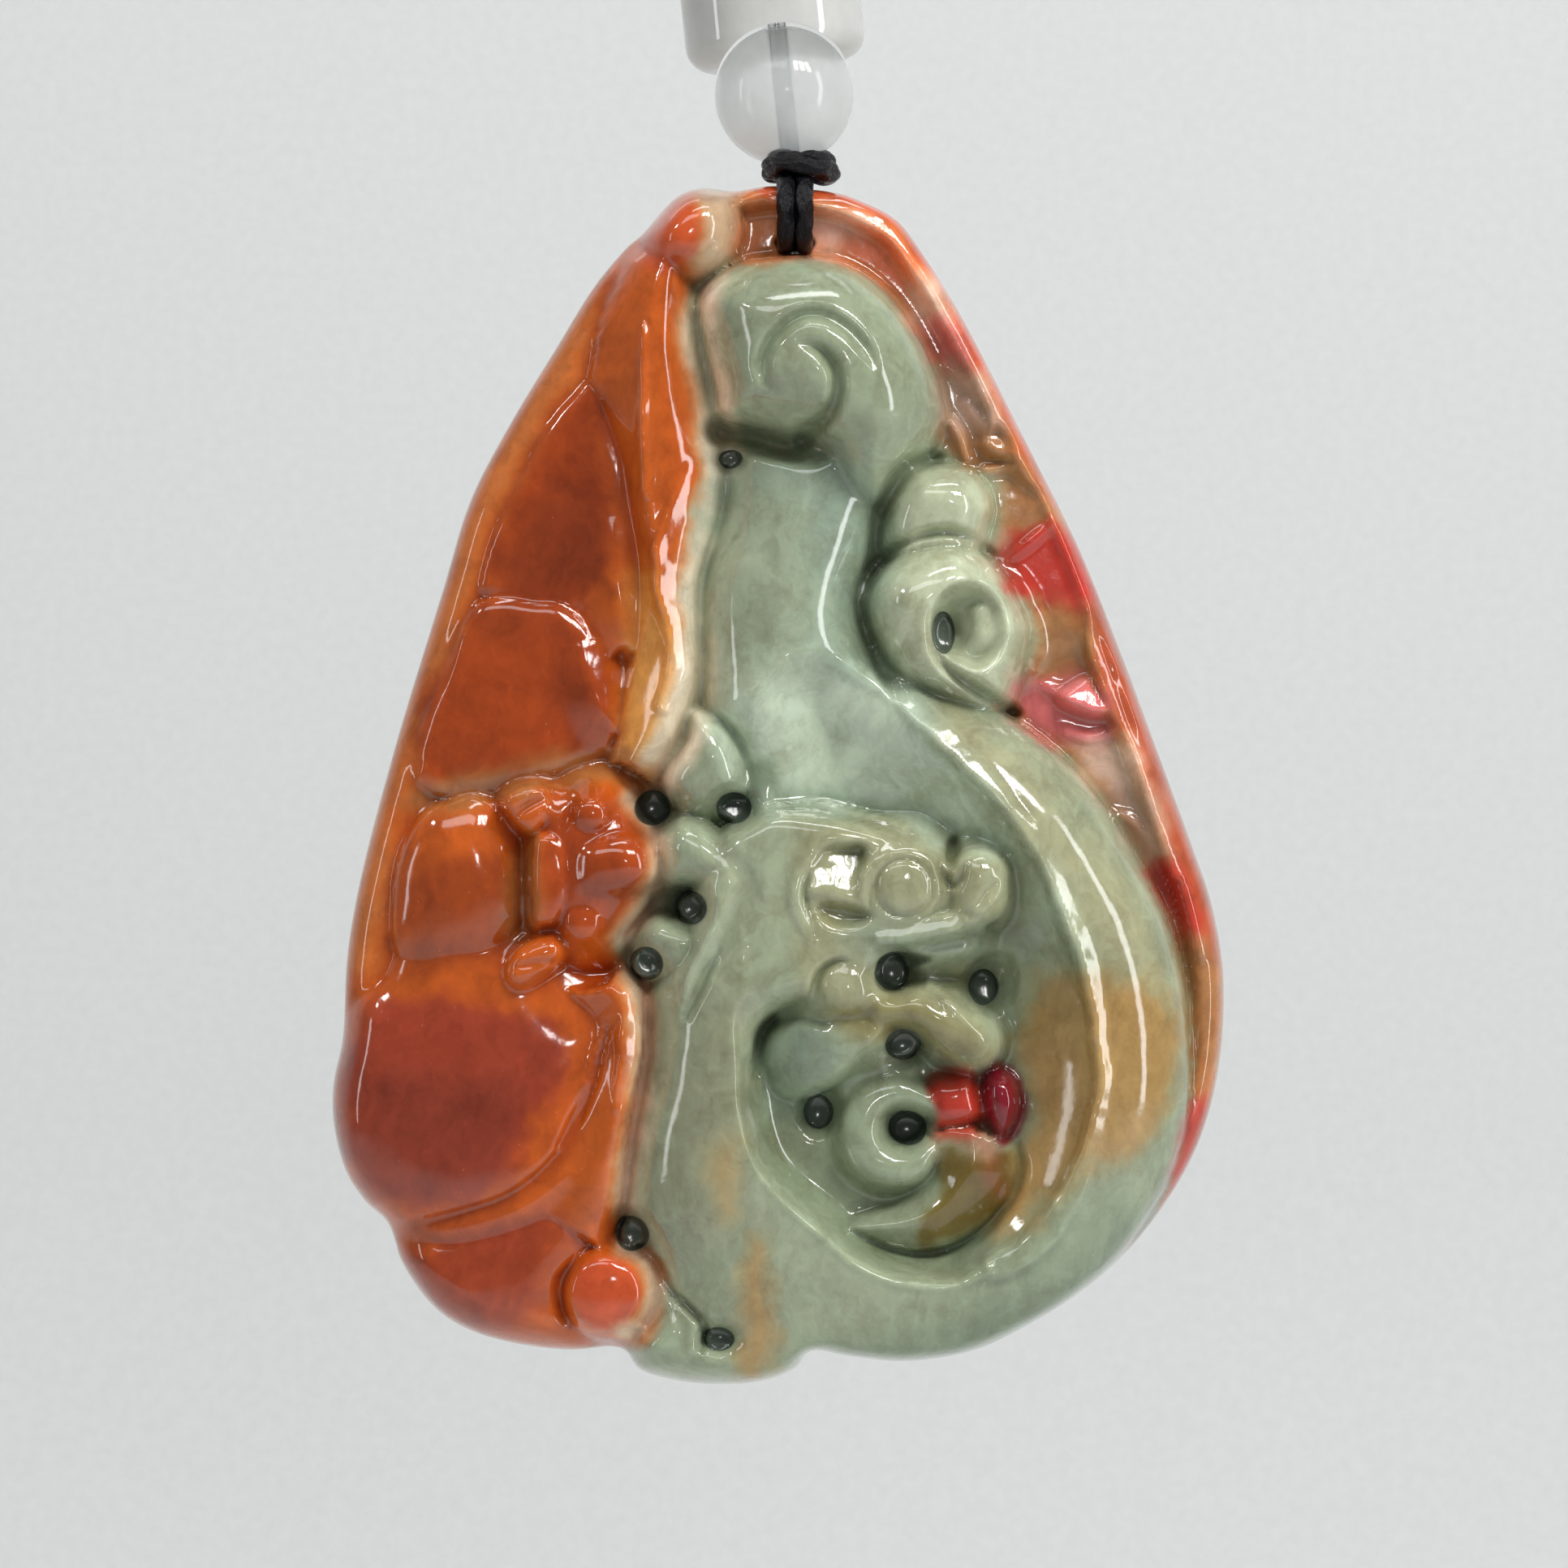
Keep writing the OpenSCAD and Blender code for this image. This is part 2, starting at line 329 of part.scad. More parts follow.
// A round cord swept along a path that lies in one upright plane, square to the given direction
cord_sides = 8;
function path_direction(path, i) = let (n = len(path), d = path[min(i + 1, n - 1)] - path[max(i - 1, 0)]) d / norm(d);
function tube_points(path, d, across) = [for (i = [0:len(path) - 1]) for (s = [0:cord_sides - 1])
    let (a = 360 * s / cord_sides, other = cross(path_direction(path, i), across))
        path[i] + d / 2 * (cos(a) * across + sin(a) * other)];
module tube(path, d, across) {
    rings = len(path);
    polyhedron(points = tube_points(path, d, across), faces = concat(
        [[for (s = [0:cord_sides - 1]) s]],
        [for (r = [0:rings - 2]) for (s = [0:cord_sides - 1])
            let (a = r * cord_sides + s, b = r * cord_sides + (s + 1) % cord_sides)
                each [[a, a + cord_sides, b + cord_sides], [a, b + cord_sides, b]]],
        [[for (s = [cord_sides - 1:-1:0]) (rings - 1) * cord_sides + s]]));
}

// One strand from the knot's front, down past the rim, through the hole and up to the knot's back.
// Columns: depth, height over the hole
strand_rows = [
    [-1.8, 3.02], [-2.35, 2.9], [-2.75, 2.45], [-2.92, 1.8], [-2.9, 1.1], [-2.75, 0.4], [-2.35, -0.05], [-1.75, -0.18],
    [-1, -0.1], [0, 0], [1.2, 0], [2.1, 0.1], [2.7, 0.45], [2.92, 1], [2.95, 1.8], [2.8, 2.5], [2.4, 2.9], [1.8, 3.02]];
strand_steps = 2;
strand_gap = 0.02;
module cord_strand(side) {
    path = [for (r = open_curve(strand_rows, strand_steps))
        [hole_x + side * (strand_d + strand_gap) / 2, r[0] * k, hole_z + r[1] * k]];
    color("#17141a") tube(path, strand_d, [1, 0, 0]);
}
module cord_strand_left() { cord_strand(-1); }
module cord_strand_right() { cord_strand(1); }

module wrap(tilt, turn) {
    rotate([0, tilt, turn]) rotate_extrude($fn = 48) translate([wrap_r, 0]) circle(d = wrap_d, $fn = 24);
}
module cord_knot() {
    core_h = 0.9;
    color("#17141a") translate([0.15, 0, 0]) union() {
        down_line(wrap_down) wrap(0, 0);
        down_line(wrap_down + wrap_pitch) wrap(0, 60);
        down_line(wrap_down + wrap_pitch + 0.1) cylinder(r = wrap_r, h = core_h, center = true, $fn = 48);
    }
}

module round_bead() {
    color("#c9cccb") down_line(bead_down) difference() {
        sphere(d = bead_d, $fn = 64);
        cylinder(d = bead_bore, h = 2 * bead_d, center = true, $fn = 32);
    }
}

module barrel_bead() {
    corner = 1.1;
    r = barrel_d / 2;
    color("#c6c7c2") difference() {
        down_line(barrel_down + barrel_l) rotate_extrude($fn = 96) {
            square([r - corner, barrel_l]);
            translate([0, corner]) square([r, barrel_l - 2 * corner]);
            for (z = [corner, barrel_l - corner]) translate([r - corner, z]) circle(r = corner, $fn = 32);
        }
        down_line(barrel_down + barrel_l / 2) cylinder(d = barrel_bore, h = 2 * barrel_l, center = true, $fn = 32);
        down_line(bead_down) rotate([90, 0, 0])
            cylinder(r = bead_d / 2 + saddle_gap, h = 2 * barrel_d, center = true, $fn = 96);
    }
}

// The clear thread, from the knot up through both beads, round its loop and back.
// Columns: half width as a share of the loop's, distance down as a share of the loop's height
loop_rows = [[0.45, 0.86], [0.86, 0.58], [1, 0.32], [0.8, 0.1], [0.42, 0.02]];
module bead_thread() {
    beside = thread_d / 2 + 0.02;
    bottom = wrap_down - small_gap / 2;
    half = loop_w / 2;
    right = concat([[beside, bottom], [beside, bead_down], [beside, barrel_down + barrel_l], [beside, barrel_down]],
        [for (r = loop_rows) [r[0] * half, r[1] * loop_h]]);
    left = [for (i = [len(right) - 1:-1:0]) [-right[i][0], right[i][1]]];
    path = [for (r = open_curve(concat(right, [[0, 0]], left), 2)) [r[0], 0, -r[1]]];
    color("#d8dde0") down_line(0) tube(path, thread_d, [0, 1, 0]);
}

jade_carving();
cord_strand_left();
cord_strand_right();
cord_knot();
round_bead();
barrel_bead();
bead_thread();
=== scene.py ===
import math

import bmesh
import bpy
import numpy as np
from mathutils import Matrix, Vector


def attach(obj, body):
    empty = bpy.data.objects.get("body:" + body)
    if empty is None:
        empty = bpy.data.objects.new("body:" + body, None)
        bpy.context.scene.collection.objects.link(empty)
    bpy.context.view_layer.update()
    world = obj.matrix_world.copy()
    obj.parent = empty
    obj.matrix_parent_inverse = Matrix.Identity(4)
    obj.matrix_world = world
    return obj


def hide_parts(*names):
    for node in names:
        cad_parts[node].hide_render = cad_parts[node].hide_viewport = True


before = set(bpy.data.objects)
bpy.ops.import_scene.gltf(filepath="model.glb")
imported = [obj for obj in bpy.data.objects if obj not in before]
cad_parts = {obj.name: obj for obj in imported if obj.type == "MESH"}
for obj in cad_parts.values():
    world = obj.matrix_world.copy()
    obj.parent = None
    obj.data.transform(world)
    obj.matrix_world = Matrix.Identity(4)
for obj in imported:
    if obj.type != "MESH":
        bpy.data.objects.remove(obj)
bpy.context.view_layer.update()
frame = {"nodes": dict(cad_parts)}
print("frame loaded:", ", ".join(frame["nodes"]))

mm = 0.001
spaceOutput = 3    # the texture coordinate node's output in object space


# Shared tools: shader sums, mesh helpers

class Shade:
    # one output of a material's nodes, ready for sums
    def __init__(self, tree, socket=None):
        self.tree, self.socket = tree, socket

    def node(self, kind, settings=None, inputs=None, output=0):
        made = self.tree.nodes.new("ShaderNode" + kind)
        for name, value in (settings or {}).items():
            if name == "stops":
                ramp = made.color_ramp
                while len(ramp.elements) < len(value):
                    ramp.elements.new(0.5)
                for stop, (place, colour) in zip(ramp.elements, value):
                    stop.position, stop.color = place, (*colour, 1)
            else:
                setattr(made, name, value)
        for name, value in (inputs or {}).items():
            if isinstance(value, Shade):
                self.tree.links.new(value.socket, made.inputs[name])
            else:
                made.inputs[name].default_value = value
        return Shade(self.tree, made.outputs[output])

    def sum(self, operation, *values):
        return self.node("Math", {"operation": operation}, dict(enumerate(values)))

    def __add__(self, other):
        return self.sum("ADD", self, other)

    def __rsub__(self, other):
        return self.sum("SUBTRACT", other, self)

    def __mul__(self, other):
        return self.sum("MULTIPLY", self, other)

    __radd__ = __add__

    def fade(self, low, high):
        # 0 below low, 1 above high, smooth between
        return self.node("MapRange", {"interpolation_type": "SMOOTHSTEP"}, {0: self, 1: low, 2: high})

    def ramp(self, *stops):
        # colours along this value, as pairs of place and colour
        return self.node("ValToRGB", {"stops": stops}, {0: self})

    def noise(self, scale, detail=2.0, rough=0.5, output=0):
        # clouds read at this place
        inputs = {"Vector": self, "Scale": scale, "Detail": detail, "Roughness": rough}
        return self.node("TexNoise", {}, inputs, output)

    def stretched(self, scale, turn=(0, 0, 0)):
        return self.node("Mapping", {}, {"Vector": self, "Rotation": turn, "Scale": scale})

    def mixed(self, other, amount, blend):
        # this colour towards another one
        settings = {"data_type": "RGBA", "blend_type": blend}
        return self.node("Mix", settings, {0: amount, 6: self, 7: other}, output=2)

    def close(self, **inputs):
        # the surface, with spaces in the inputs' names written as underscores
        settings = {"subsurface_method": "RANDOM_WALK"} if "Subsurface_Weight" in inputs else {}
        inputs = {name.replace("_", " "): value for name, value in inputs.items()}
        surface = self.node("BsdfPrincipled", settings, inputs)
        out = self.tree.nodes.new("ShaderNodeOutputMaterial")
        self.tree.links.new(surface.socket, out.inputs["Surface"])


def newMaterial(name):
    # a bare material and its place in space
    material = bpy.data.materials.new(name)
    material.use_nodes = True
    tree = material.node_tree
    for node in list(tree.nodes):
        tree.nodes.remove(node)
    return material, Shade(tree).node("TexCoord", output=spaceOutput)


def linear(hexColour):
    # a display colour such as "9aa58a" as linear light
    parts = [int(hexColour[i:i + 2], 16) / 255 for i in (0, 2, 4)]
    return tuple(c / 12.92 if c <= 0.04045 else ((c + 0.055) / 1.055) ** 2.4 for c in parts)


def linked(name, data):
    # an object of the scene
    thing = bpy.data.objects.new(name, data)
    bpy.context.scene.collection.objects.link(thing)
    return thing


def meshFrom(name, bm):
    mesh = bpy.data.meshes.new(name)
    bm.to_mesh(mesh)
    bm.free()
    return mesh


def toMetres(bm):
    # drawn in millimetres, with its faces turned outwards
    bmesh.ops.scale(bm, verts=list(bm.verts), vec=(mm, mm, mm))
    bmesh.ops.recalc_face_normals(bm, faces=list(bm.faces))


def finishPiece(name, bm, materials, body, replaces, smooth=True):
    # the bmesh as an object that rides on a CAD body
    mesh = meshFrom(name, bm)
    for material in materials:
        mesh.materials.append(material)
    if smooth:
        mesh.shade_smooth()
    piece = linked(name, mesh)
    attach(piece, body)
    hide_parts(replaces)
    mesh.calc_loop_triangles()
    print(name, "has", len(mesh.loop_triangles), "triangles")
    return piece


# Camera and studio

studio = {
    "cameraPlace": (0.001863, -0.25, -0.04754),
    "cameraLens": 132.7,
    "sensor": 36,
    "clip": (0.01, 20),
    "floorHeight": -0.20,
    "wallBack": 0.32,
    "wallBend": 0.12,
    "bendSteps": 24,
    "paperHalf": 1.6,
    "paperFront": -0.9,
    "wallTop": 1.4,
    "paperTones": ((0.3, (0.725, 0.74, 0.735)), (0.7, (0.755, 0.77, 0.765))),
    "paperGrain": 900.0,
    "paperRough": 0.7,
    "worldStrength": 0.155,
    "worldColour": (0.96, 0.98, 1.0),
    "aims": {"pendant": (0.0018, 0.0, -0.047), "wall": (0.0, 0.32, -0.03)},
    # what it is aimed at, direction to the light, distance, width, height, watts, colour
    "lights": {
        "windowPaneLeft": ("pendant", (0.28, -0.62, 0.70), 0.55, 0.064, 0.15, 0.57, (1.0, 0.985, 0.96)),
        "windowPaneMiddle": ("pendant", (0.42, -0.57, 0.70), 0.55, 0.064, 0.15, 0.57, (1.0, 0.985, 0.96)),
        "windowPaneRight": ("pendant", (0.56, -0.50, 0.68), 0.55, 0.064, 0.15, 0.57, (1.0, 0.985, 0.96)),
        "smallLamp": ("pendant", (-0.71, -0.25, 0.66), 0.55, 0.07, 0.05, 0.25, (1.0, 0.98, 0.96)),
        "sideWindow": ("pendant", (0.88, -0.45, 0.14), 0.60, 0.08, 0.58, 1.10, (0.97, 0.99, 1.0)),
        "topStrip": ("pendant", (0.05, -0.12, 0.99), 0.60, 0.45, 0.07, 0.8, (0.98, 0.99, 1.0)),
        "leftStrip": ("pendant", (-0.96, -0.22, 0.15), 0.60, 0.05, 0.30, 0.22, (0.97, 0.99, 1.0)),
        "skyPanel": ("pendant", (-0.25, -0.60, 0.76), 0.70, 0.50, 0.16, 0.85, (0.97, 0.99, 1.0)),
        "frontGlint": ("pendant", (0.10, -0.98, 0.14), 0.50, 0.035, 0.035, 0.085, (1.0, 1.0, 1.0)),
        "wallLamp": ("wall", (-0.2, -0.42, 0.9), 0.30, 0.50, 0.06, 0.115, (0.98, 0.985, 0.99)),
    },
}


def addCamera():
    camera = linked("camera", bpy.data.cameras.new("camera"))
    camera.data.sensor_width, camera.data.lens = studio["sensor"], studio["cameraLens"]
    camera.data.clip_start, camera.data.clip_end = studio["clip"]
    camera.location = studio["cameraPlace"]
    camera.rotation_euler = (math.pi / 2, 0, 0)
    bpy.context.scene.camera = camera


def addStudio():
    for name, (aim, direction, distance, width, height, watts, colour) in studio["lights"].items():
        light = bpy.data.lights.new(name, "AREA")
        light.shape, light.size, light.size_y = "RECTANGLE", width, height
        light.energy, light.color = watts, colour
        lamp = linked(name, light)
        toLamp = Vector(direction).normalized()
        lamp.location = Vector(studio["aims"][aim]) + toLamp * distance
        lamp.rotation_euler = toLamp.to_track_quat("Z", "Y").to_euler()
    world = bpy.data.worlds.new("paleRoom")
    world.use_nodes = True
    background = world.node_tree.nodes["Background"]
    background.inputs["Color"].default_value = (*studio["worldColour"], 1)
    background.inputs["Strength"].default_value = studio["worldStrength"]
    bpy.context.scene.world = world
    bpy.context.scene.view_settings.view_transform = "Standard"
    addPaper()


def addPaper():
    # a sheet of pale paper: floor, bend and wall in one sweep
    bm = bmesh.new()
    floor, back, bend, side = (studio[key] for key in ("floorHeight", "wallBack", "wallBend", "paperHalf"))
    start = bm.verts.new((-side, studio["paperFront"], floor))
    corner = bm.verts.new((-side, back - bend, floor))
    bm.edges.new((start, corner))
    bmesh.ops.spin(bm, geom=[corner], cent=(-side, back - bend, floor + bend), axis=(1, 0, 0),
                   angle=math.pi / 2, steps=studio["bendSteps"])
    top = max(bm.verts, key=lambda v: v.co.z)
    bm.edges.new((top, bm.verts.new((-side, back, studio["wallTop"]))))
    swept = bmesh.ops.extrude_edge_only(bm, edges=list(bm.edges))["geom"]
    swept = [g for g in swept if isinstance(g, bmesh.types.BMVert)]
    bmesh.ops.translate(bm, verts=swept, vec=(2 * side, 0, 0))
    bmesh.ops.recalc_face_normals(bm, faces=list(bm.faces))
    mesh = meshFrom("paperSweep", bm)
    mesh.shade_smooth()
    material, place = newMaterial("palePaper")
    tone = place.noise(studio["paperGrain"]).ramp(*studio["paperTones"])
    tone.close(Base_Color=tone, Roughness=studio["paperRough"])
    mesh.materials.append(material)
    linked("paperSweep", mesh)


addCamera()
addStudio()
print("camera and studio placed")


# Forms of the carving, drawn flat in millimetres: across and up from the middle of the ruyi's top edge,
# with heights over the flat back

carving = {
    "origin": (2.1792, 2.3, -24.8081),      # the drawing's origin on the flat back
    "edgeHeight": 2.0,                      # widest edge of the stone over the back
    "plateHeight": 4.3,                     # back plate on the bat's side
    "groundHeight": 4.0,                    # sunk ground beside the dragon
    "rimHeight": 0.7,                       # rim over that ground
    "rimCrest": (0.7, 0.4, -5.0, 15),       # how far in it lies at the top, how much more below, from, over
    "rimSlope": 0.75,                       # width of its inner slope
    "rimGap": (-10.5, -15.5, 2.5, 0.35),    # where the rim flattens: from, to, softness, share left
    "edgeWidth": (1.1, 0.5, 0.38, 1.6),     # rounded edge: first guess, least, growth with height, most
    "edgeRounds": (60, 12),                 # rounds of smoothing for that width
    "edgeRoom": (0.15, 0.5),                # kept free beside the rim's crest and beside the hole
    "backRound": 1.8,                       # how far in from the edge the back is rounded
    # distances between the points in front, behind and round the rim
    "spacing": 0.13, "backSpacing": 0.7, "rimSpacing": 0.19,
    "clearance": 0.55,                      # share of that kept free beside a ring
    "frontRings": 9, "backRings": 6,
    "ringGap": 0.12,                        # from the rounded edge to the ring that joins the net
    "leftSide": (-2.6, 2),                  # where the bat's side begins, and how soft
    "formReach": 3.0,                       # how far round its points a form can matter
    "leastCrown": 0.4,                      # least height of a lobe's top over its foot
    "stepLip": 0.12,                        # worn lip of a cut edge
    "hole": (0.15, 0.51, 0.84, 0.47),       # the cord's: across, up, half width, half height
    "lip": 0.16,                            # worn lip round a pit
    # rings down a pit: how far out, depth, darkness of the painted shade
    "pitLips": [(0.09, 0.015, 0.0), (0.04, 0.06, 0.15), (0.0, 0.12, 0.6), (0.0, 0.17, 1.0)],
    "holeBack": [(0.0, 1.6), (0.0, 0.25), (0.05, 0.08), (0.16, 0.0)],      # out, height over the back
    "pitBowl": 0.42,                        # depth of a pit's bowl, share of its half width
    "bowlTurns": (12, 24, 36, 48, 60, 72, 90),
    "pitHollow": 0.4, "pitReach": 1.9,      # sunk ground round a pit, reach in half widths
    "seatSoft": 0.4,                        # how softly a pit's level seat begins
    "facetGrain": (0.1, 0.5, 9),            # depth, size and seed of a facet's unevenness
    "ribbonWave": (0.055, 1.3, 10), "ribbonEdge": (0.25, 1.1, 8),
    "ribbonSoft": 0.3,
    "toWindow": (0.267, 0.445),             # fall across and up of a facet that mirrors the window
    # the same for the window, the side window, the sky panel and the strip overhead
    "mirrors": [(0.267, 0.445), (0.608, 0.097), (-0.156, 0.475), (0.045, 0.88)],
    "upperRight": (0.5, 0.8),
    "polish": 1,                            # passes that wear the cut edges smooth
    "hollowRounds": 40, "hollowDepth": 0.32,    # how wide and how deep a hollow counts
    # painted shade in hollows, by colour: on the green side, then on the bat's warm side; ridges paled a
    # little
    "hollowShade": (0.30, 0.25, 0.31), "warmShade": (0.22, 0.40, 0.45), "crestTint": (0.10, 0.12, 0.12),
    "warmSide": (-4.5, 2),                  # where the bat's warmer painted shade begins, and how soft
    # share of pitDark painted as shade down in the pits
    "paintedPitShade": 0.9,
}

outlineRows = [
    (0.4, 3), (2, 2.8), (3, 2.45), (4.4, 1.75), (5.4, 0.6), (7.4, -2.6), (10, -7.65), (12.4, -12.45),
    (14.2, -16.9), (15.5, -20.4), (17.3, -25.3), (18.2, -28), (18.7, -31.2), (18.5, -34.9), (17.7, -38),
    (16.4, -40.5), (14.5, -42.95), (12.4, -44.7), (10.2, -46.05), (7.8, -47.15), (4.9, -47.6),
    (2.4, -47.35), (0.85, -47.1), (0.2, -47.9), (-1.2, -48.45), (-3.3, -48.65), (-5.2, -48.45),
    (-6.6, -48), (-7.4, -47.1), (-9.6, -47.2), (-11.8, -46.95), (-13.9, -46.35), (-15.5, -45.3),
    (-16.8, -43.5), (-17.2, -42.3), (-17.6, -41.5), (-18.4, -40.8), (-19.3, -39.4), (-19.8, -37.4),
    (-19.8, -35.6), (-19.4, -33.6), (-19.2, -30), (-18.5, -26.2), (-17, -20.6), (-15.1, -14.4),
    (-13.9, -10.5), (-12.2, -7.2), (-10.2, -3.9), (-8.6, -1.3), (-7.2, 0.4), (-6.4, 1.1), (-5, 2.6),
    (-3.8, 3.02), (-2.4, 2.9), (-1, 3.1)]


def curve(rows, closed, steps=5):
    # smooth curve through the rows, all columns alike
    p = np.array(rows, float)
    n = len(p)
    if n < 3 and not closed:
        return p
    out = []
    for i in range(n if closed else n - 1):
        a, b, c, d = (p[(i + k) % n] if closed else p[min(max(i + k, 0), n - 1)] for k in (-1, 0, 1, 2))
        for t in np.arange(steps) / steps:
            out.append(0.5 * (2 * b + (c - a) * t + (2 * a - 5 * b + 4 * c - d) * t * t
                              + (3 * b - a - 3 * c + d) * t ** 3))
    return np.array(out if closed else out + [p[-1]])


def nearest(q, path, closed=False):
    # distance from each point to a path, the path's columns there, and on which side the point lies
    best, side = np.full(len(q), 1e9), np.ones(len(q))
    extra = np.zeros((len(q), path.shape[1]))
    if len(path) == 1:
        extra[:] = path[0]
        return np.hypot(q[:, 0] - path[0, 0], q[:, 1] - path[0, 1]), extra, side
    n = len(path)
    for i in range(n if closed else n - 1):
        a, b = path[i], path[(i + 1) % n]
        run = b[:2] - a[:2]
        t = np.clip(((q - a[:2]) @ run) / max(run @ run, 1e-12), 0, 1)
        off = q - a[:2] - t[:, None] * run
        dist = np.hypot(off[:, 0], off[:, 1])
        near = dist < best
        best[near] = dist[near]
        extra[near] = a + t[near, None] * (b - a)
        side[near] = np.sign(run[0] * off[near, 1] - run[1] * off[near, 0])
    return best, extra, side


def within(q, path):
    x, y = q[:, 0], q[:, 1]
    odd = np.zeros(len(q), bool)
    for (x0, y0), (x1, y1) in zip(path[:, :2], np.roll(path[:, :2], -1, 0)):
        if y1 != y0:
            odd ^= ((y0 > y) != (y1 > y)) & (x < (x1 - x0) * (y - y0) / (y1 - y0) + x0)
    return odd


def signedDistance(q, path):
    dist = nearest(q, path, True)[0]
    return np.where(within(q, path), dist, -dist)


def softMax(a, b, size):
    t = np.clip(0.5 + 0.5 * (a - b) / size, 0, 1)
    return b + (a - b) * t + size * t * (1 - t)


def ease(x):
    t = np.clip(x, 0, 1)
    return t * t * (3 - 2 * t)


def cloud(q, size, seed, octaves=3):
    # smooth noise from -1 to 1 over points of the drawing, from a common hash of each cell's corners
    total, weight, value = 0.0, 1.0, np.zeros(len(q))
    for octave in range(octaves):
        place = q / size + 17.3 * seed + 5.1 * octave
        cell = np.floor(place)
        part = place - cell
        part = part * part * (3 - 2 * part)
        corners = []
        for dy in (0, 1):
            for dx in (0, 1):
                wave = (cell[:, 0] + dx) * 127.1 + (cell[:, 1] + dy) * 311.7 + seed * 74.7
                wave = np.sin(wave) * 43758.5453
                corners.append(wave - np.floor(wave))
        low = corners[0] + (corners[1] - corners[0]) * part[:, 0]
        high = corners[2] + (corners[3] - corners[2]) * part[:, 0]
        value = value + weight * (2 * (low + (high - low) * part[:, 1]) - 1)
        total, weight, size = total + weight, weight * 0.55, size * 0.5
    return value / total


def uneven(q, name):
    depth, size, seed = carving[name]
    return depth * cloud(q, size, seed)


def lobe(q, h, rows, peak, crest, fall, foot, edge, soft=0.2, wall=3.0):
    # rounded form inside an outline: highest at its peak, with a round shoulder
    d = signedDistance(q, curve(rows, True))
    away = (q[:, 0] - peak[0]) ** 2 + (q[:, 1] - peak[1]) ** 2
    top = np.maximum(crest - fall * away / 100, foot + carving["leastCrown"])
    e = np.clip(d / edge, 0, 1)
    new = np.where(d < 0, foot + wall * d, foot + (top - foot) * np.sqrt(1 - (1 - e) ** 2))
    return softMax(h, new, soft)


def roll(q, h, rows, drop, wall=1.5, soft=0.3):
    # rounded strand. Rows: across, up, half width, crest
    dist, x, _ = nearest(q, curve(rows, False))
    r = dist / x[:, 2]
    new = x[:, 3] - drop * (1 - np.sqrt(np.clip(1 - r * r, 0, 1)))
    new = np.where(r > 1, x[:, 3] - drop - wall * (dist - x[:, 2]), new)
    return softMax(h, new, soft)


def band(q, h, left, crest, right, bulge=(1.0, 1.0), wall=3.0, soft=0.2):
    # strap between two edges with a crease along its crest. Rows: across, up, height
    a, b, c = (curve(rows, False) for rows in (left, crest, right))
    (da, xa, _), (db, xb, _), (dc, xc, _) = nearest(q, a), nearest(q, b), nearest(q, c)
    onLeft = within(q, np.vstack([a, b[::-1]]))
    onRight = within(q, np.vstack([b, c[::-1]]))
    new = np.full(len(q), -9.0)
    for mask, d, x, power in ((onLeft, da, xa, bulge[0]), (onRight, dc, xc, bulge[1])):
        t = np.clip(d / (d + db + 1e-9), 0, 1)
        rise = 1 - (1 - t) ** power
        new = np.where(mask, x[:, 2] + (xb[:, 2] - x[:, 2]) * rise, new)
    outside = ~(onLeft | onRight)
    foot = np.where(da < dc, xa[:, 2], xc[:, 2])
    new = np.where(outside, foot - wall * np.minimum(np.minimum(da, dc), db), new)
    return softMax(h, new, soft)


def dish(q, h, rows, floor, wall):
    # hollow inside an outline, steepest at its lip
    e = np.clip(signedDistance(q, curve(rows, True)) / wall, 0, 1)
    return np.where(e > 0, np.minimum(h, h - (h - floor) * (1 - (1 - e) ** 2)), h)


def cut(q, h, rows):
    # engraved line, or a raised one where the depth is negative. Rows: across, up, half width, depth
    dist, x, _ = nearest(q, curve(rows, False))
    r = np.clip(dist / x[:, 2], 0, 1)
    return h - x[:, 3] * (1 - r * r) ** 2


def facet(q, h, rows, middle, level, soft=0.4):
    # flat place inside an outline that faces the window
    w = ease(signedDistance(q, curve(rows, True, 3)) / soft)
    level = level + uneven(q, "facetGrain")
    return h + (level - (q - np.array(middle)) @ np.array(carving["toWindow"]) - h) * w


def ribbon(q, h, rows):
    # strip along a path, tilted so that it mirrors the nearest lamp. Rows: across, up, half width
    path = curve(rows, False, 6)
    level = np.array([h[np.argmin(((q - p) ** 2).sum(1))] for p in path[:, :2]])
    along = np.gradient(path[:, :2], axis=0)
    square = np.stack([-along[:, 1], along[:, 0]], 1) / np.hypot(*along.T)[:, None]
    upperRight, lamps = np.array(carving["upperRight"]), np.array(carving["mirrors"])
    square *= np.sign(square @ upperRight)[:, None]
    fall = square @ lamps.T
    missed = np.abs(square[:, :1] * lamps[:, 1] - square[:, 1:] * lamps[:, 0])
    fall = fall[np.arange(len(path)), missed.argmin(1)]
    for _ in range(3):
        for values in (level, fall):
            values[1:-1] = 0.5 * values[1:-1] + 0.25 * (values[2:] + values[:-2])
    dist, x, _ = nearest(q, np.column_stack([path, level, fall]))
    side = np.sign((q - x[:, :2]) @ upperRight)
    w = ease((1 - dist / (x[:, 2] * (1 + uneven(q, "ribbonEdge")))) / carving["ribbonSoft"])
    return h + (x[:, 3] + uneven(q, "ribbonWave") - x[:, 4] * side * dist - h) * w


def step(q, h, rows):
    # cut edge that lowers the ground on the left of a path. Rows: across, up, width, depth
    dist, x, side = nearest(q, curve(rows, False))
    r = np.clip(dist / x[:, 2], 0, 1)
    lip = ease(dist / carving["stepLip"])
    return h - np.where(side > 0, x[:, 3] * (1 - r) ** 2 * (1 + 2 * r) * lip, 0)


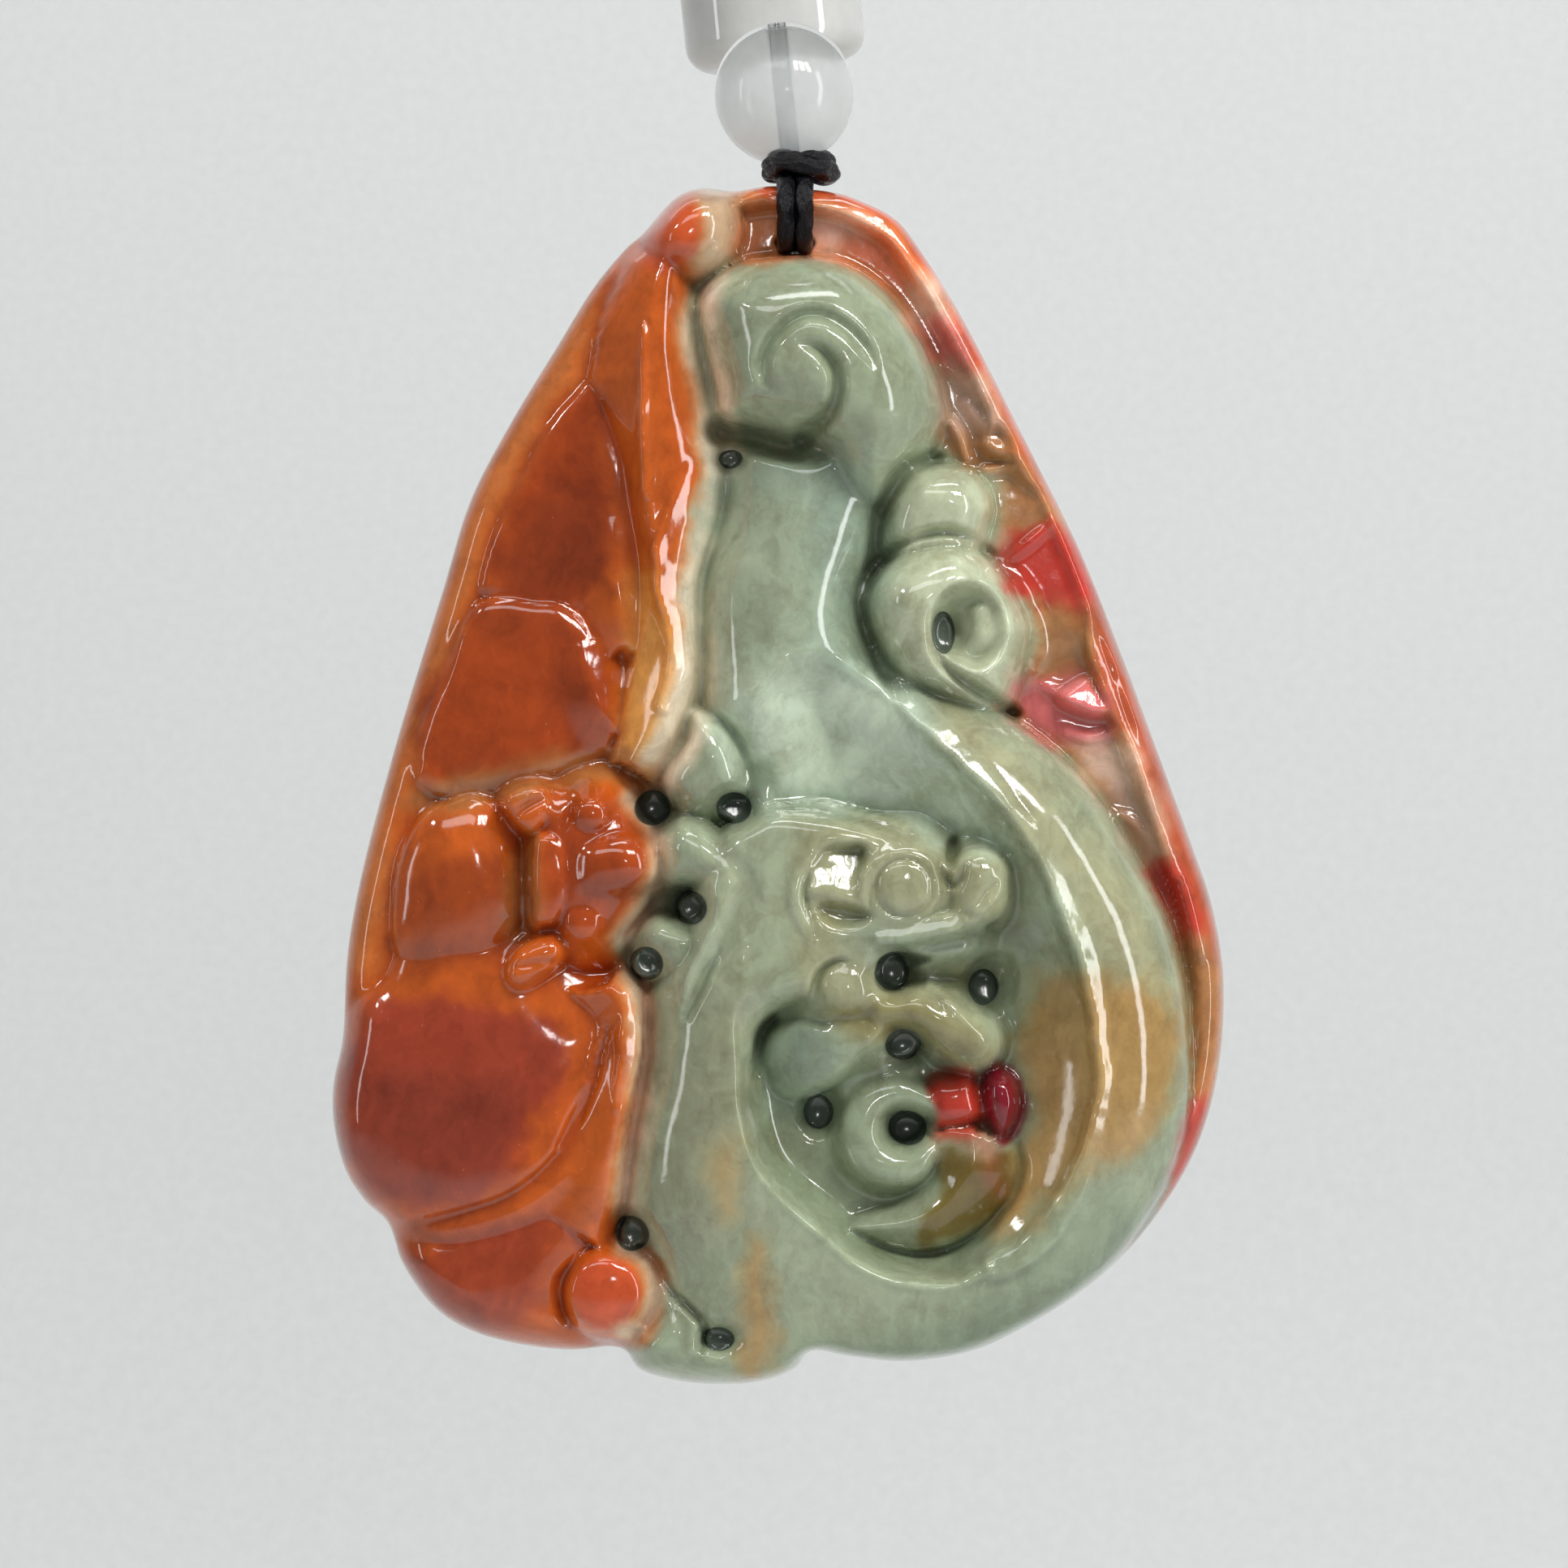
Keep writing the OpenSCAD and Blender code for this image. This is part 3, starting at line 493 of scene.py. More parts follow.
# The bat: upper wing's folds, panels and strap, body and head, lower wing, tuft
batForms = [
    (lobe, dict(peak=(-8, -11), crest=5.05, fall=0.9, foot=4.4, edge=1, soft=0.1, wall=2), [
        (-8.5, -5.2), (-9.3, -6), (-10.1, -6.9), (-10.8, -7.9), (-11.4, -9.2), (-12, -10.3),
        (-12.7, -11.8), (-13.2, -13.3), (-13.2, -14.6), (-11, -15.6), (-8, -15.6), (-6, -13),
        (-6.4, -9.8), (-7.2, -7.4), (-8, -5.6)]),
    (lobe, dict(peak=(-9.5, -18.5), crest=5.4, fall=1.2, foot=4.5, edge=0.9, soft=0.1, wall=2), [
        (-15.95, -22.6), (-16, -21.4), (-15.8, -20.2), (-15.4, -19.1), (-14.9, -18), (-14.5, -16.8),
        (-14, -15.7), (-13.3, -14.9), (-12.2, -14.65), (-11, -14.8), (-10, -14.85), (-9.2, -15.3),
        (-8.5, -16), (-8, -16.9), (-7.6, -17.9), (-7.3, -18.9), (-7.2, -19.8), (-7.4, -20.6),
        (-8, -21.6), (-10, -22.6), (-12.5, -23.2), (-14.6, -23.4)]),
    (band, dict(bulge=(1.2, 1.2), wall=1, soft=0.15), (
        [(-8.9, -10.4, 4.9), (-9.1, -12, 4.95), (-9.1, -13.5, 4.95), (-8.9, -15, 4.95), (-8.5, -16.3, 5),
         (-7.9, -17.6, 5.1)],
        [(-7.95, -10.8, 5), (-7.75, -12, 5.45), (-7.6, -13, 5.7), (-7.45, -14.2, 5.85),
         (-7.3, -15.6, 5.85), (-7.2, -16.8, 5.7)],
        [(-6.8, -10.8, 5), (-6.6, -12.3, 5.3), (-6.5, -13.8, 5.5), (-6.4, -15.2, 5.6),
         (-6.4, -16.5, 5.6), (-6.4, -17.4, 5.5)])),
    (band, dict(bulge=(1.1, 1.1), wall=1, soft=0.15), (
        [(-10.2, -16.6, 5.3), (-10.2, -18, 5.35), (-9.8, -19.5, 5.35), (-8.9, -20.9, 5.3),
         (-7.9, -21.2, 5.2)],
        [(-9.1, -16.8, 5.45), (-8.75, -17.8, 5.75), (-8.3, -18.9, 5.9), (-7.95, -19.8, 5.85),
         (-7.55, -20.5, 5.5)],
        [(-8.4, -16.5, 5.2), (-7.9, -17.5, 5.3), (-7.5, -18.6, 5.4), (-7.3, -19.6, 5.4),
         (-7.3, -20.4, 5.4)])),
    (band, dict(bulge=(1.15, 2.3), soft=0.15), (
        [(-6.3, 0.4, 4.7), (-6.95, -0.1, 4.7), (-7.3, -1, 4.75), (-7.7, -1.9, 4.8), (-8.1, -3, 4.85),
         (-8.4, -4.6, 4.9), (-8.5, -5.4, 5), (-8.2, -6.1, 5.1), (-7.6, -7.4, 5.3), (-7.1, -8.8, 5.45),
         (-6.85, -10.2, 5.55), (-6.6, -11.8, 5.65), (-6.4, -13.5, 5.75), (-6.4, -15.5, 5.85),
         (-6.5, -17, 5.9), (-6.9, -18.5, 5.8), (-7.2, -20, 5.7), (-7.6, -21.7, 5.5)],
        [(-5.2, 0.2, 6), (-5.7, -1.5, 6.5), (-6.05, -3.2, 6.85), (-6.2, -5, 7.05), (-6.25, -8, 7.2),
         (-6.2, -10.5, 7.2), (-5.95, -12, 7.2), (-5.6, -13.8, 7.15), (-5.3, -15.5, 7.1),
         (-5.15, -17.3, 7.1), (-5.4, -19, 7), (-6, -20.5, 6.8), (-6.9, -22, 6.2)],
        [(-4.3, -0.3, 4.4), (-4.3, -1.5, 4.8), (-4.15, -3, 4.9), (-3.95, -4.5, 5), (-3.7, -5.7, 5),
         (-3.4, -6.9, 5), (-3.1, -8, 5), (-2.95, -9.3, 5), (-3, -10.6, 5), (-3.3, -12, 5.1),
         (-3.7, -13.2, 5.2), (-3.9, -14.5, 5.2), (-3.85, -16.5, 5.2), (-3.9, -18.2, 5.2),
         (-4.3, -19.8, 5.2), (-5, -21.4, 5.2), (-5.9, -22.8, 4.9)])),
    (lobe, dict(peak=(-4.6, 0.8), crest=7, fall=12, foot=4.4, edge=1.5, soft=0.15), [
        (-6.5, 0.9), (-6.2, 0.1), (-5.5, -0.8), (-4.4, -1.2), (-3.4, -1), (-2.5, -0.3), (-2.1, 0.9),
        (-2.3, 2.1), (-3.1, 3.6), (-4.6, 4), (-6.2, 2.9)]),
    (lobe, dict(peak=(-12.6, -26.6), crest=6.3, fall=2.6, foot=4.6, edge=2.4, soft=0.12), [
        (-13.4, -23.1), (-14.7, -23.4), (-15.7, -23.9), (-16.4, -24.9), (-16.9, -26.2), (-17.05, -27.6),
        (-17.1, -29), (-16.85, -30.1), (-16.2, -30.8), (-15.2, -31.1), (-14, -31), (-12.8, -30.6),
        (-11.8, -29.6), (-11.2, -27.6), (-11.5, -25.5), (-12.3, -23.8)]),
    (lobe, dict(peak=(-8.2, -26.3), crest=7.3, fall=4, foot=4.9, edge=2.2, soft=0.35), [
        (-12.3, -23.4), (-11.2, -22.7), (-9.6, -22.6), (-8, -22.9), (-6.6, -23.5), (-5.9, -24.5),
        (-5.6, -26), (-5.8, -27.3), (-6.6, -28.6), (-7.6, -29.6), (-8.8, -30), (-9.8, -29.6),
        (-10.9, -29), (-11.1, -27.8), (-11, -26.2), (-11.2, -24.9), (-12.1, -24.2)]),
    (lobe, dict(peak=(-10.2, -26.8), crest=7.3, fall=5, foot=6.6, edge=0.35, soft=0.1), [
        (-10.95, -25.3), (-10.4, -24.8), (-9.7, -25.2), (-9.4, -26.2), (-9.5, -27.4), (-9.9, -28.5),
        (-10.5, -28.7), (-10.95, -28.4)]),
    (lobe, dict(peak=(-7, -26), crest=8, fall=7, foot=6.6, edge=1.3), [
        (-9.4, -26.3), (-9.2, -25.4), (-8.4, -24.9), (-7.2, -24.7), (-6.2, -25.1), (-5.75, -25.9),
        (-5.8, -26.7), (-6.5, -27.3), (-7.6, -27.6), (-9.2, -27.5)]),
    (roll, dict(drop=0.4, soft=0.12), [(-8.5, -24.05, 0.72, 7.5)]),
    (roll, dict(drop=0.4, soft=0.12), [(-8.85, -28.6, 0.78, 7.3)]),
    (lobe, dict(peak=(-11.3, -23.6), crest=6.9, fall=8, foot=6, edge=0.4, soft=0.12), [
        (-12.3, -23.3), (-11.5, -22.8), (-10.4, -22.9), (-10.2, -23.9), (-10.9, -24.9), (-11.6, -24.6),
        (-12.1, -24)]),
    (lobe, dict(peak=(-10.8, -30.2), crest=7, fall=10, foot=5.4, edge=0.7, soft=0.15), [
        (-12.35, -30.7), (-11.9, -29.8), (-11, -29.2), (-10.1, -29), (-9.5, -29.5), (-9.6, -30.2),
        (-10.4, -31), (-11.4, -31.6), (-12.1, -31.4)]),
    (cut, {}, [(-12, -24.3, 0.25, 0.1), (-11.4, -23.8, 0.3, 0.3), (-10.7, -23.4, 0.3, 0.25),
               (-10.2, -23.2, 0.2, 0.1)]),
    (cut, {}, [(-12, -30.6, 0.2, 0.1), (-11.2, -30.4, 0.25, 0.22), (-10.2, -30.3, 0.25, 0.15)]),
    (cut, {}, [(-9.7, -24.9, 0.2, 0.05), (-9.6, -24.3, 0.3, 0.3), (-9.3, -23.7, 0.25, 0.2),
               (-9.2, -23.3, 0.2, 0.05)]),
    (lobe, dict(peak=(-12, -37.5), crest=6.4, fall=1, foot=4.2, edge=3.6, soft=0.15), [
        (-20.4, -36), (-19.5, -33.4), (-18.6, -32), (-17.4, -31), (-16.4, -28.6), (-14, -27.6),
        (-10.5, -28.6), (-8.5, -30.6), (-6.8, -31), (-6, -33), (-6.6, -37), (-7.4, -41), (-9.5, -42),
        (-12, -42.6), (-14.2, -42.9), (-16, -42.6), (-17.6, -41.9), (-18.9, -41), (-20, -39.4),
        (-20.6, -37.6)]),
    (lobe, dict(peak=(-10.5, -42), crest=6, fall=1.4, foot=4, edge=3.2), [
        (-17.6, -42.3), (-16.4, -41.8), (-14.2, -41.5), (-12.2, -40.8), (-10.8, -39.6), (-9.9, -38.4),
        (-9.2, -36.9), (-8.6, -35.2), (-8, -33.2), (-6.8, -32), (-6.4, -35), (-6.9, -38), (-7.2, -41),
        (-7.8, -43), (-8.6, -45), (-8.4, -47.7), (-12, -47.9), (-15.2, -46.8), (-17.4, -44.4)]),
    (step, {}, [(-8.1, -33.6, 0.6, 0.25), (-8.7, -35.6, 0.9, 0.4), (-9.5, -37.4, 1.1, 0.5),
                (-10.6, -38.9, 1.2, 0.5), (-12.2, -40.1, 1.2, 0.5), (-14.2, -40.8, 1.2, 0.5),
                (-16.2, -41.3, 1.1, 0.4), (-17.8, -41.7, 0.8, 0.3)]),
    (band, dict(bulge=(1.3, 2.4)), (
        [(-9.4, -31.6, 5.9), (-8.4, -32.6, 6), (-8.3, -34, 6), (-8.6, -35.3, 5.95), (-9.2, -36.8, 5.85),
         (-9.9, -38.2, 5.75), (-10.6, -39.4, 5.6), (-11.4, -40.6, 5.5)],
        [(-8.2, -31.4, 6.5), (-7.3, -31.9, 6.9), (-6.95, -33, 7), (-7, -34.3, 7), (-7.35, -36, 6.9),
         (-7.75, -38, 6.75), (-8.2, -40, 6.5), (-8.9, -42, 6.1)],
        [(-7.2, -30.6, 5), (-6.45, -31.2, 5), (-6.2, -32.2, 5), (-6.2, -33.5, 5), (-6.4, -35.3, 5),
         (-6.75, -37.5, 5), (-7, -39.5, 5), (-7.35, -41.3, 4.9), (-7.9, -43, 4.8)])),
    (roll, dict(drop=1.5, wall=2, soft=0.25), [(-7.6, -44.5, 2.2, 6.5)]),
    (roll, dict(drop=0.45, wall=2, soft=0.1), [(-7.9, -44.4, 1.55, 6.75)]),
    (cut, {}, [(-5.95, -2.6, 0.2, -0.02), (-6.15, -4, 0.3, -0.1), (-6.15, -8, 0.35, -0.14),
               (-6.15, -10.4, 0.3, -0.05)]),
    (cut, {}, [(-4.1, -8.6, 0.25, -0.05), (-4.5, -10.4, 0.5, -0.18), (-5.2, -12.4, 0.45, -0.16),
               (-5.5, -14, 0.4, -0.14), (-5.1, -16.4, 0.4, -0.14), (-4.9, -18, 0.4, -0.14),
               (-5.6, -19.6, 0.3, -0.05)]),
    (ribbon, {}, [(-6.15, -3.2, 0.22), (-6.15, -5, 0.31), (-6.15, -8, 0.34), (-6.15, -10.4, 0.25)]),
    (ribbon, {}, [(-4.1, -8.8, 0.25), (-4.5, -10.4, 0.52), (-5.1, -12.4, 0.8), (-5.3, -14.2, 0.69),
                  (-4.9, -16.2, 0.57), (-4.8, -17.8, 0.57), (-5.4, -19.4, 0.37)]),
    (ribbon, {}, [(-8, -33.3, 0.22), (-8.5, -35.2, 0.31), (-9.2, -37, 0.31), (-9.9, -38.3, 0.22)]),
    (ribbon, {}, [(-6.9, -31.6, 0.25), (-6.8, -32.8, 0.52), (-6.9, -34.4, 0.57), (-7.3, -36.4, 0.34)]),
    (cut, {}, [(-9, -43, 0.2, 0.1), (-9.75, -43.8, 0.35, 0.5), (-9.9, -44.6, 0.35, 0.55),
               (-9.7, -45.5, 0.3, 0.4), (-9.2, -46.1, 0.2, 0.1)]),
]

# The dragon: side curls, neck and ring, ruyi head, hollow of the ring, engraved lines, raised rims, facets
dragonForms = [
    (lobe, dict(peak=(6.8, -10.6), crest=6.9, fall=6, foot=3.6, edge=1.8), [
        (3.6, -12.2), (3.8, -10.8), (4.3, -9.8), (5, -9.1), (6, -8.9), (7, -8.95), (7.9, -9.3),
        (8.5, -10), (8.75, -11), (8.5, -12), (8.2, -12.9), (6.5, -13.6), (4.3, -13.6)]),
    (lobe, dict(peak=(5.6, -15.4), crest=8.3, fall=3.5, foot=3.8, edge=2.4, soft=0.25), [
        (3, -15.2), (3.15, -14.2), (3.7, -13.4), (4.6, -12.75), (5.6, -12.3), (6.6, -12.15),
        (7.6, -12.35), (8.5, -13), (9.3, -13.9), (9.9, -15), (10.3, -16.1), (10.15, -17.2), (9.9, -18.3),
        (9.5, -19.4), (8.5, -19.9), (6.6, -19.6), (4.6, -18.6), (3.6, -17)]),
    (lobe, dict(peak=(7, -31), crest=8.9, fall=0.45, foot=4, edge=3.8, soft=0.25), [
        (-3.1, -7.4), (0, -6.5), (4.4, -7), (5.6, -8.6), (4.4, -9.8), (3.8, -11.2), (3.4, -12.8),
        (3, -14.4), (3, -15.8), (4, -17.6), (6, -18.3), (7.6, -18.9), (9.4, -19.8), (11.4, -21.3),
        (13.1, -23.1), (14.6, -25.4), (16, -28), (16.9, -31), (17.2, -34), (17.05, -37), (16.2, -39.8),
        (14.8, -42.2), (12.9, -45), (10.4, -47.2), (8, -48.6), (4, -49.4), (-1, -50.2), (-5, -50),
        (-8.3, -48.2), (-7.6, -46.6), (-6.2, -44.6), (-6.2, -43), (-7.2, -42.2), (-7.15, -40),
        (-6.9, -37.5), (-6.4, -35), (-6.15, -33), (-6.2, -31.5), (-5.4, -29.5), (-4.2, -27), (-3, -24),
        (-2.4, -21.6), (-3.8, -19.8), (-3.95, -17), (-4, -14.8), (-3.75, -13.2), (-3.05, -11),
        (-2.95, -9.2)]),
    (lobe, dict(peak=(1.4, -5.2), crest=9.3, fall=4.6, foot=4.4, edge=3, soft=0.5), [
        (-4.1, -2.2), (-3.5, -1.1), (-2.2, -0.35), (-0.8, -0.12), (1, -0.12), (2.2, -0.35), (3.4, -1),
        (4.6, -2.2), (5.6, -3.8), (6.2, -5.2), (6.5, -6.6), (6.4, -7.6), (6, -8.5), (5, -9.8),
        (3.6, -11), (2.2, -10.2), (1.4, -8.8), (0.4, -8.1), (-1, -7.8), (-3, -7.3), (-3.4, -5.8),
        (-3.8, -3.9)]),
    (dish, dict(floor=5.6, wall=5), [
        (-1.9, -21), (-1.2, -18.4), (0.3, -17.2), (2, -17.3), (4.4, -18.85), (6.1, -20.3), (8.4, -22.8),
        (10.2, -24.9), (11.5, -27.2), (12.4, -29.8), (13.1, -33), (13.2, -35.5), (12.6, -38.2),
        (11.5, -40.6), (9.9, -42.5), (7.6, -43.5), (5, -43.8), (2.9, -43.1), (1.2, -41.6), (-0.3, -40.3),
        (-1.5, -38.8), (-2.1, -36.8), (-2.2, -34.8), (-1.9, -33), (-2, -30), (-2.4, -27), (-2.4, -23.6)]),
    (dish, dict(floor=5.5, wall=1.9), [
        (-2.2, -32), (-2.3, -34.8), (-2.2, -36.8), (-1.6, -38.8), (-0.4, -40.3), (1.1, -41.6),
        (2.9, -43.1), (5, -43.8), (7.6, -43.6), (9, -40), (5, -36), (2, -33), (0.6, -31)]),
    (dish, dict(floor=6.1, wall=1.3), [
        (5.95, -15.4), (6.3, -14.6), (7, -14.15), (7.9, -14.1), (8.7, -14.6), (9.15, -15.5),
        (9.15, -16.6), (8.7, -17.5), (7.9, -18), (7, -17.8), (6.3, -17.2), (5.9, -16.3)]),
    (roll, dict(drop=0.5, wall=1, soft=0.4), [
        (8.1, -15.5, 0.5, 6.7), (8.2, -16.4, 0.6, 6.9), (7.7, -17.1, 0.5, 6.6)]),
    (cut, {}, [(6, -16.9, 0.2, 0.2), (6.5, -17.7, 0.35, 0.8), (7.5, -18.45, 0.4, 1),
               (8.5, -19.05, 0.4, 1.1), (9.6, -19.7, 0.35, 1)]),
    (cut, {}, [(4.9, -12.4, 0.3, 0.2), (3.9, -13.1, 0.5, 0.7), (3.2, -14.2, 0.5, 0.7),
               (3.05, -15.3, 0.45, 0.5), (3.4, -16.4, 0.35, 0.3), (4.1, -17.3, 0.25, 0.1)]),
    (cut, {}, [(6.3, -8.7, 0.3, 0.3), (5.2, -8.95, 0.45, 0.8), (4.5, -9.6, 0.5, 0.9),
               (4, -10.5, 0.5, 0.7), (3.7, -11.6, 0.5, 0.5), (3.6, -12.6, 0.4, 0.3)]),
    (cut, {}, [(4.2, -12.7, 0.3, 0.2), (5.4, -12.2, 0.4, 0.5), (6.6, -12, 0.4, 0.6),
               (7.8, -12.3, 0.35, 0.5), (8.6, -12.9, 0.3, 0.3)]),
    (cut, {}, [(-3.1, -7.6, 0.9, 2), (-1.7, -7.95, 0.9, 1.8), (-0.3, -8.4, 0.8, 1.3),
               (0.9, -8.5, 0.8, 0.6), (1.9, -8.2, 0.6, 0.1)]),
    (cut, {}, [(3.5, -5.2, 0.2, 0.1), (3.1, -4.4, 0.45, 0.4), (2.4, -3.6, 0.5, 0.5),
               (1.5, -3.05, 0.5, 0.5), (0.6, -2.95, 0.5, 0.5), (-0.15, -3.3, 0.5, 0.5),
               (-0.9, -4.1, 0.5, 0.5), (-1.2, -4.9, 0.5, 0.5), (-1.1, -5.6, 0.4, 0.35),
               (-0.6, -6.2, 0.2, 0.1)]),
    (cut, {}, [(0.3, -4.1, 0.2, 0.1), (1.2, -4.45, 0.45, 0.5), (1.75, -5.1, 0.5, 0.6),
               (1.95, -5.8, 0.5, 0.7), (1.8, -6.7, 0.5, 0.8), (1.3, -7.4, 0.55, 0.9),
               (0.5, -7.95, 0.6, 0.9)]),
    (cut, {}, [(1.4, -17.5, 0.45, -0.07), (2.6, -17.9, 0.68, -0.27), (4.4, -18.9, 0.6, -0.3),
               (6, -20.4, 0.52, -0.27), (8.5, -23, 0.45, -0.27), (10.2, -25, 0.42, -0.27),
               (11.4, -27.2, 0.42, -0.27), (12.4, -29.8, 0.42, -0.27), (13.1, -33, 0.45, -0.24),
               (13.2, -35.5, 0.45, -0.22), (12.6, -38.2, 0.52, -0.22), (11.5, -40.6, 0.52, -0.24),
               (9.9, -42.5, 0.6, -0.27), (7.6, -43.5, 0.6, -0.24), (5, -43.8, 0.52, -0.16),
               (2.9, -43, 0.45, -0.16), (1.2, -41.6, 0.45, -0.16), (-0.3, -40.2, 0.45, -0.16),
               (-1.4, -38.6, 0.45, -0.14), (-2, -36.8, 0.45, -0.14)]),
    (cut, {}, [(-0.6, 2.5, 0.38, -0.08), (1, 2.3, 0.45, -0.19), (2.4, 1.95, 0.48, -0.22),
               (4, 1.1, 0.48, -0.22), (5.2, -0.4, 0.45, -0.22), (7, -3.3, 0.45, -0.22),
               (8.7, -6.3, 0.45, -0.22), (10.4, -9.5, 0.45, -0.22), (12, -13.3, 0.45, -0.19),
               (13.4, -17, 0.45, -0.19), (15.3, -22.5, 0.52, -0.22), (16.4, -26, 0.52, -0.22),
               (17.5, -30, 0.45, -0.19)]),
    (cut, {}, [(9.2, -13.2, 0.25, -0.1), (10.2, -12.4, 0.4, -0.35), (11.2, -11.5, 0.3, -0.15)]),
    (cut, {}, [(6.3, -6.6, 0.4, -0.3), (7.1, -7.6, 0.4, -0.4), (7.5, -8.7, 0.35, -0.3)]),
    (cut, {}, [(7.6, -6.4, 0.35, -0.3), (8.4, -7.6, 0.45, -0.5), (9.2, -8.6, 0.4, -0.3)]),
    (cut, {}, [(8.3, -9.3, 0.35, -0.3), (9.5, -9.2, 0.4, -0.35), (10.2, -9.9, 0.3, -0.2)]),
    (cut, {}, [(6.6, -4.6, 0.3, -0.1), (7.4, -5.4, 0.35, -0.25), (8, -6.2, 0.3, -0.1)]),
    (cut, {}, [(10.6, -18.4, 0.3, -0.1), (11.8, -19, 0.5, -0.3), (13, -19.4, 0.4, -0.2)]),
    (cut, {}, [(11.6, -20.4, 0.3, -0.1), (12.8, -20.8, 0.4, -0.25), (14, -20.4, 0.3, -0.1)]),
    (cut, {}, [(13.6, -24, 0.3, -0.1), (14.8, -24.4, 0.4, -0.25), (15.6, -25.6, 0.3, -0.1)]),
    (ribbon, {}, [(3.8, -17.7, 0.25), (4.3, -18.3, 0.52), (5.5, -19.6, 0.69), (7.2, -21.4, 0.63),
                  (8.2, -22.5, 0.44), (9.6, -24.2, 0.4), (10.8, -26, 0.46), (11.6, -27.6, 0.56),
                  (12.3, -29.4, 0.62), (12.8, -31.4, 0.55), (13.1, -33.4, 0.5), (13.2, -35.5, 0.48),
                  (12.7, -38, 0.52), (11.6, -40.4, 0.6), (10.2, -42.2, 0.66), (8.6, -43.1, 0.52)]),
    (ribbon, {}, [(-0.8, 2.35, 0.24), (0.9, 2.25, 0.38), (2.2, 1.95, 0.42), (3.4, 1.4, 0.45),
                  (4.4, 0.7, 0.4), (5.6, -1, 0.37), (6.8, -3, 0.37), (8, -5.1, 0.4), (8.7, -6.5, 0.46),
                  (9.2, -7.6, 0.69), (9.9, -8.7, 0.46), (10.6, -9.9, 0.31)]),
    (ribbon, {}, [(12.9, -15.6, 0.28), (13.1, -17, 0.43), (13.6, -18.4, 0.52), (14.2, -20, 0.4),
                  (15, -21.8, 0.37), (15.8, -24.2, 0.46), (16.6, -26.6, 0.37)]),
    (facet, dict(middle=(12.6, -18.8), level=4.75, soft=0.5), [
        (11.2, -19.2), (12, -18.2), (13, -17.8), (13.4, -18.6), (14, -19.8), (12.8, -20)]),
    (facet, dict(middle=(8.7, -8), level=4.6, soft=0.45), [
        (7.9, -8.2), (8.6, -7.2), (9.3, -7.6), (9.6, -8.7), (8.7, -8.9)]),
    (lobe, dict(peak=(-5.4, -46), crest=7, fall=12, foot=4.4, edge=1.1, soft=0.15), [
        (-6, -42.9), (-5.3, -44.1), (-4.6, -44.8), (-4, -45.5), (-3.7, -46.3), (-4, -47), (-4.7, -47.5),
        (-5.5, -47.7), (-6.5, -47.5), (-7.3, -47), (-6.7, -46.3), (-5.8, -45.3), (-5.7, -44.2)]),
    (cut, {}, [(-5.8, -42.9, 0.25, 0.3), (-5.1, -44.3, 0.3, 0.6), (-4.3, -45, 0.3, 0.6),
               (-3.7, -45.8, 0.3, 0.6), (-3.9, -46.9, 0.25, 0.4), (-4.8, -47.7, 0.2, 0.1)]),
]

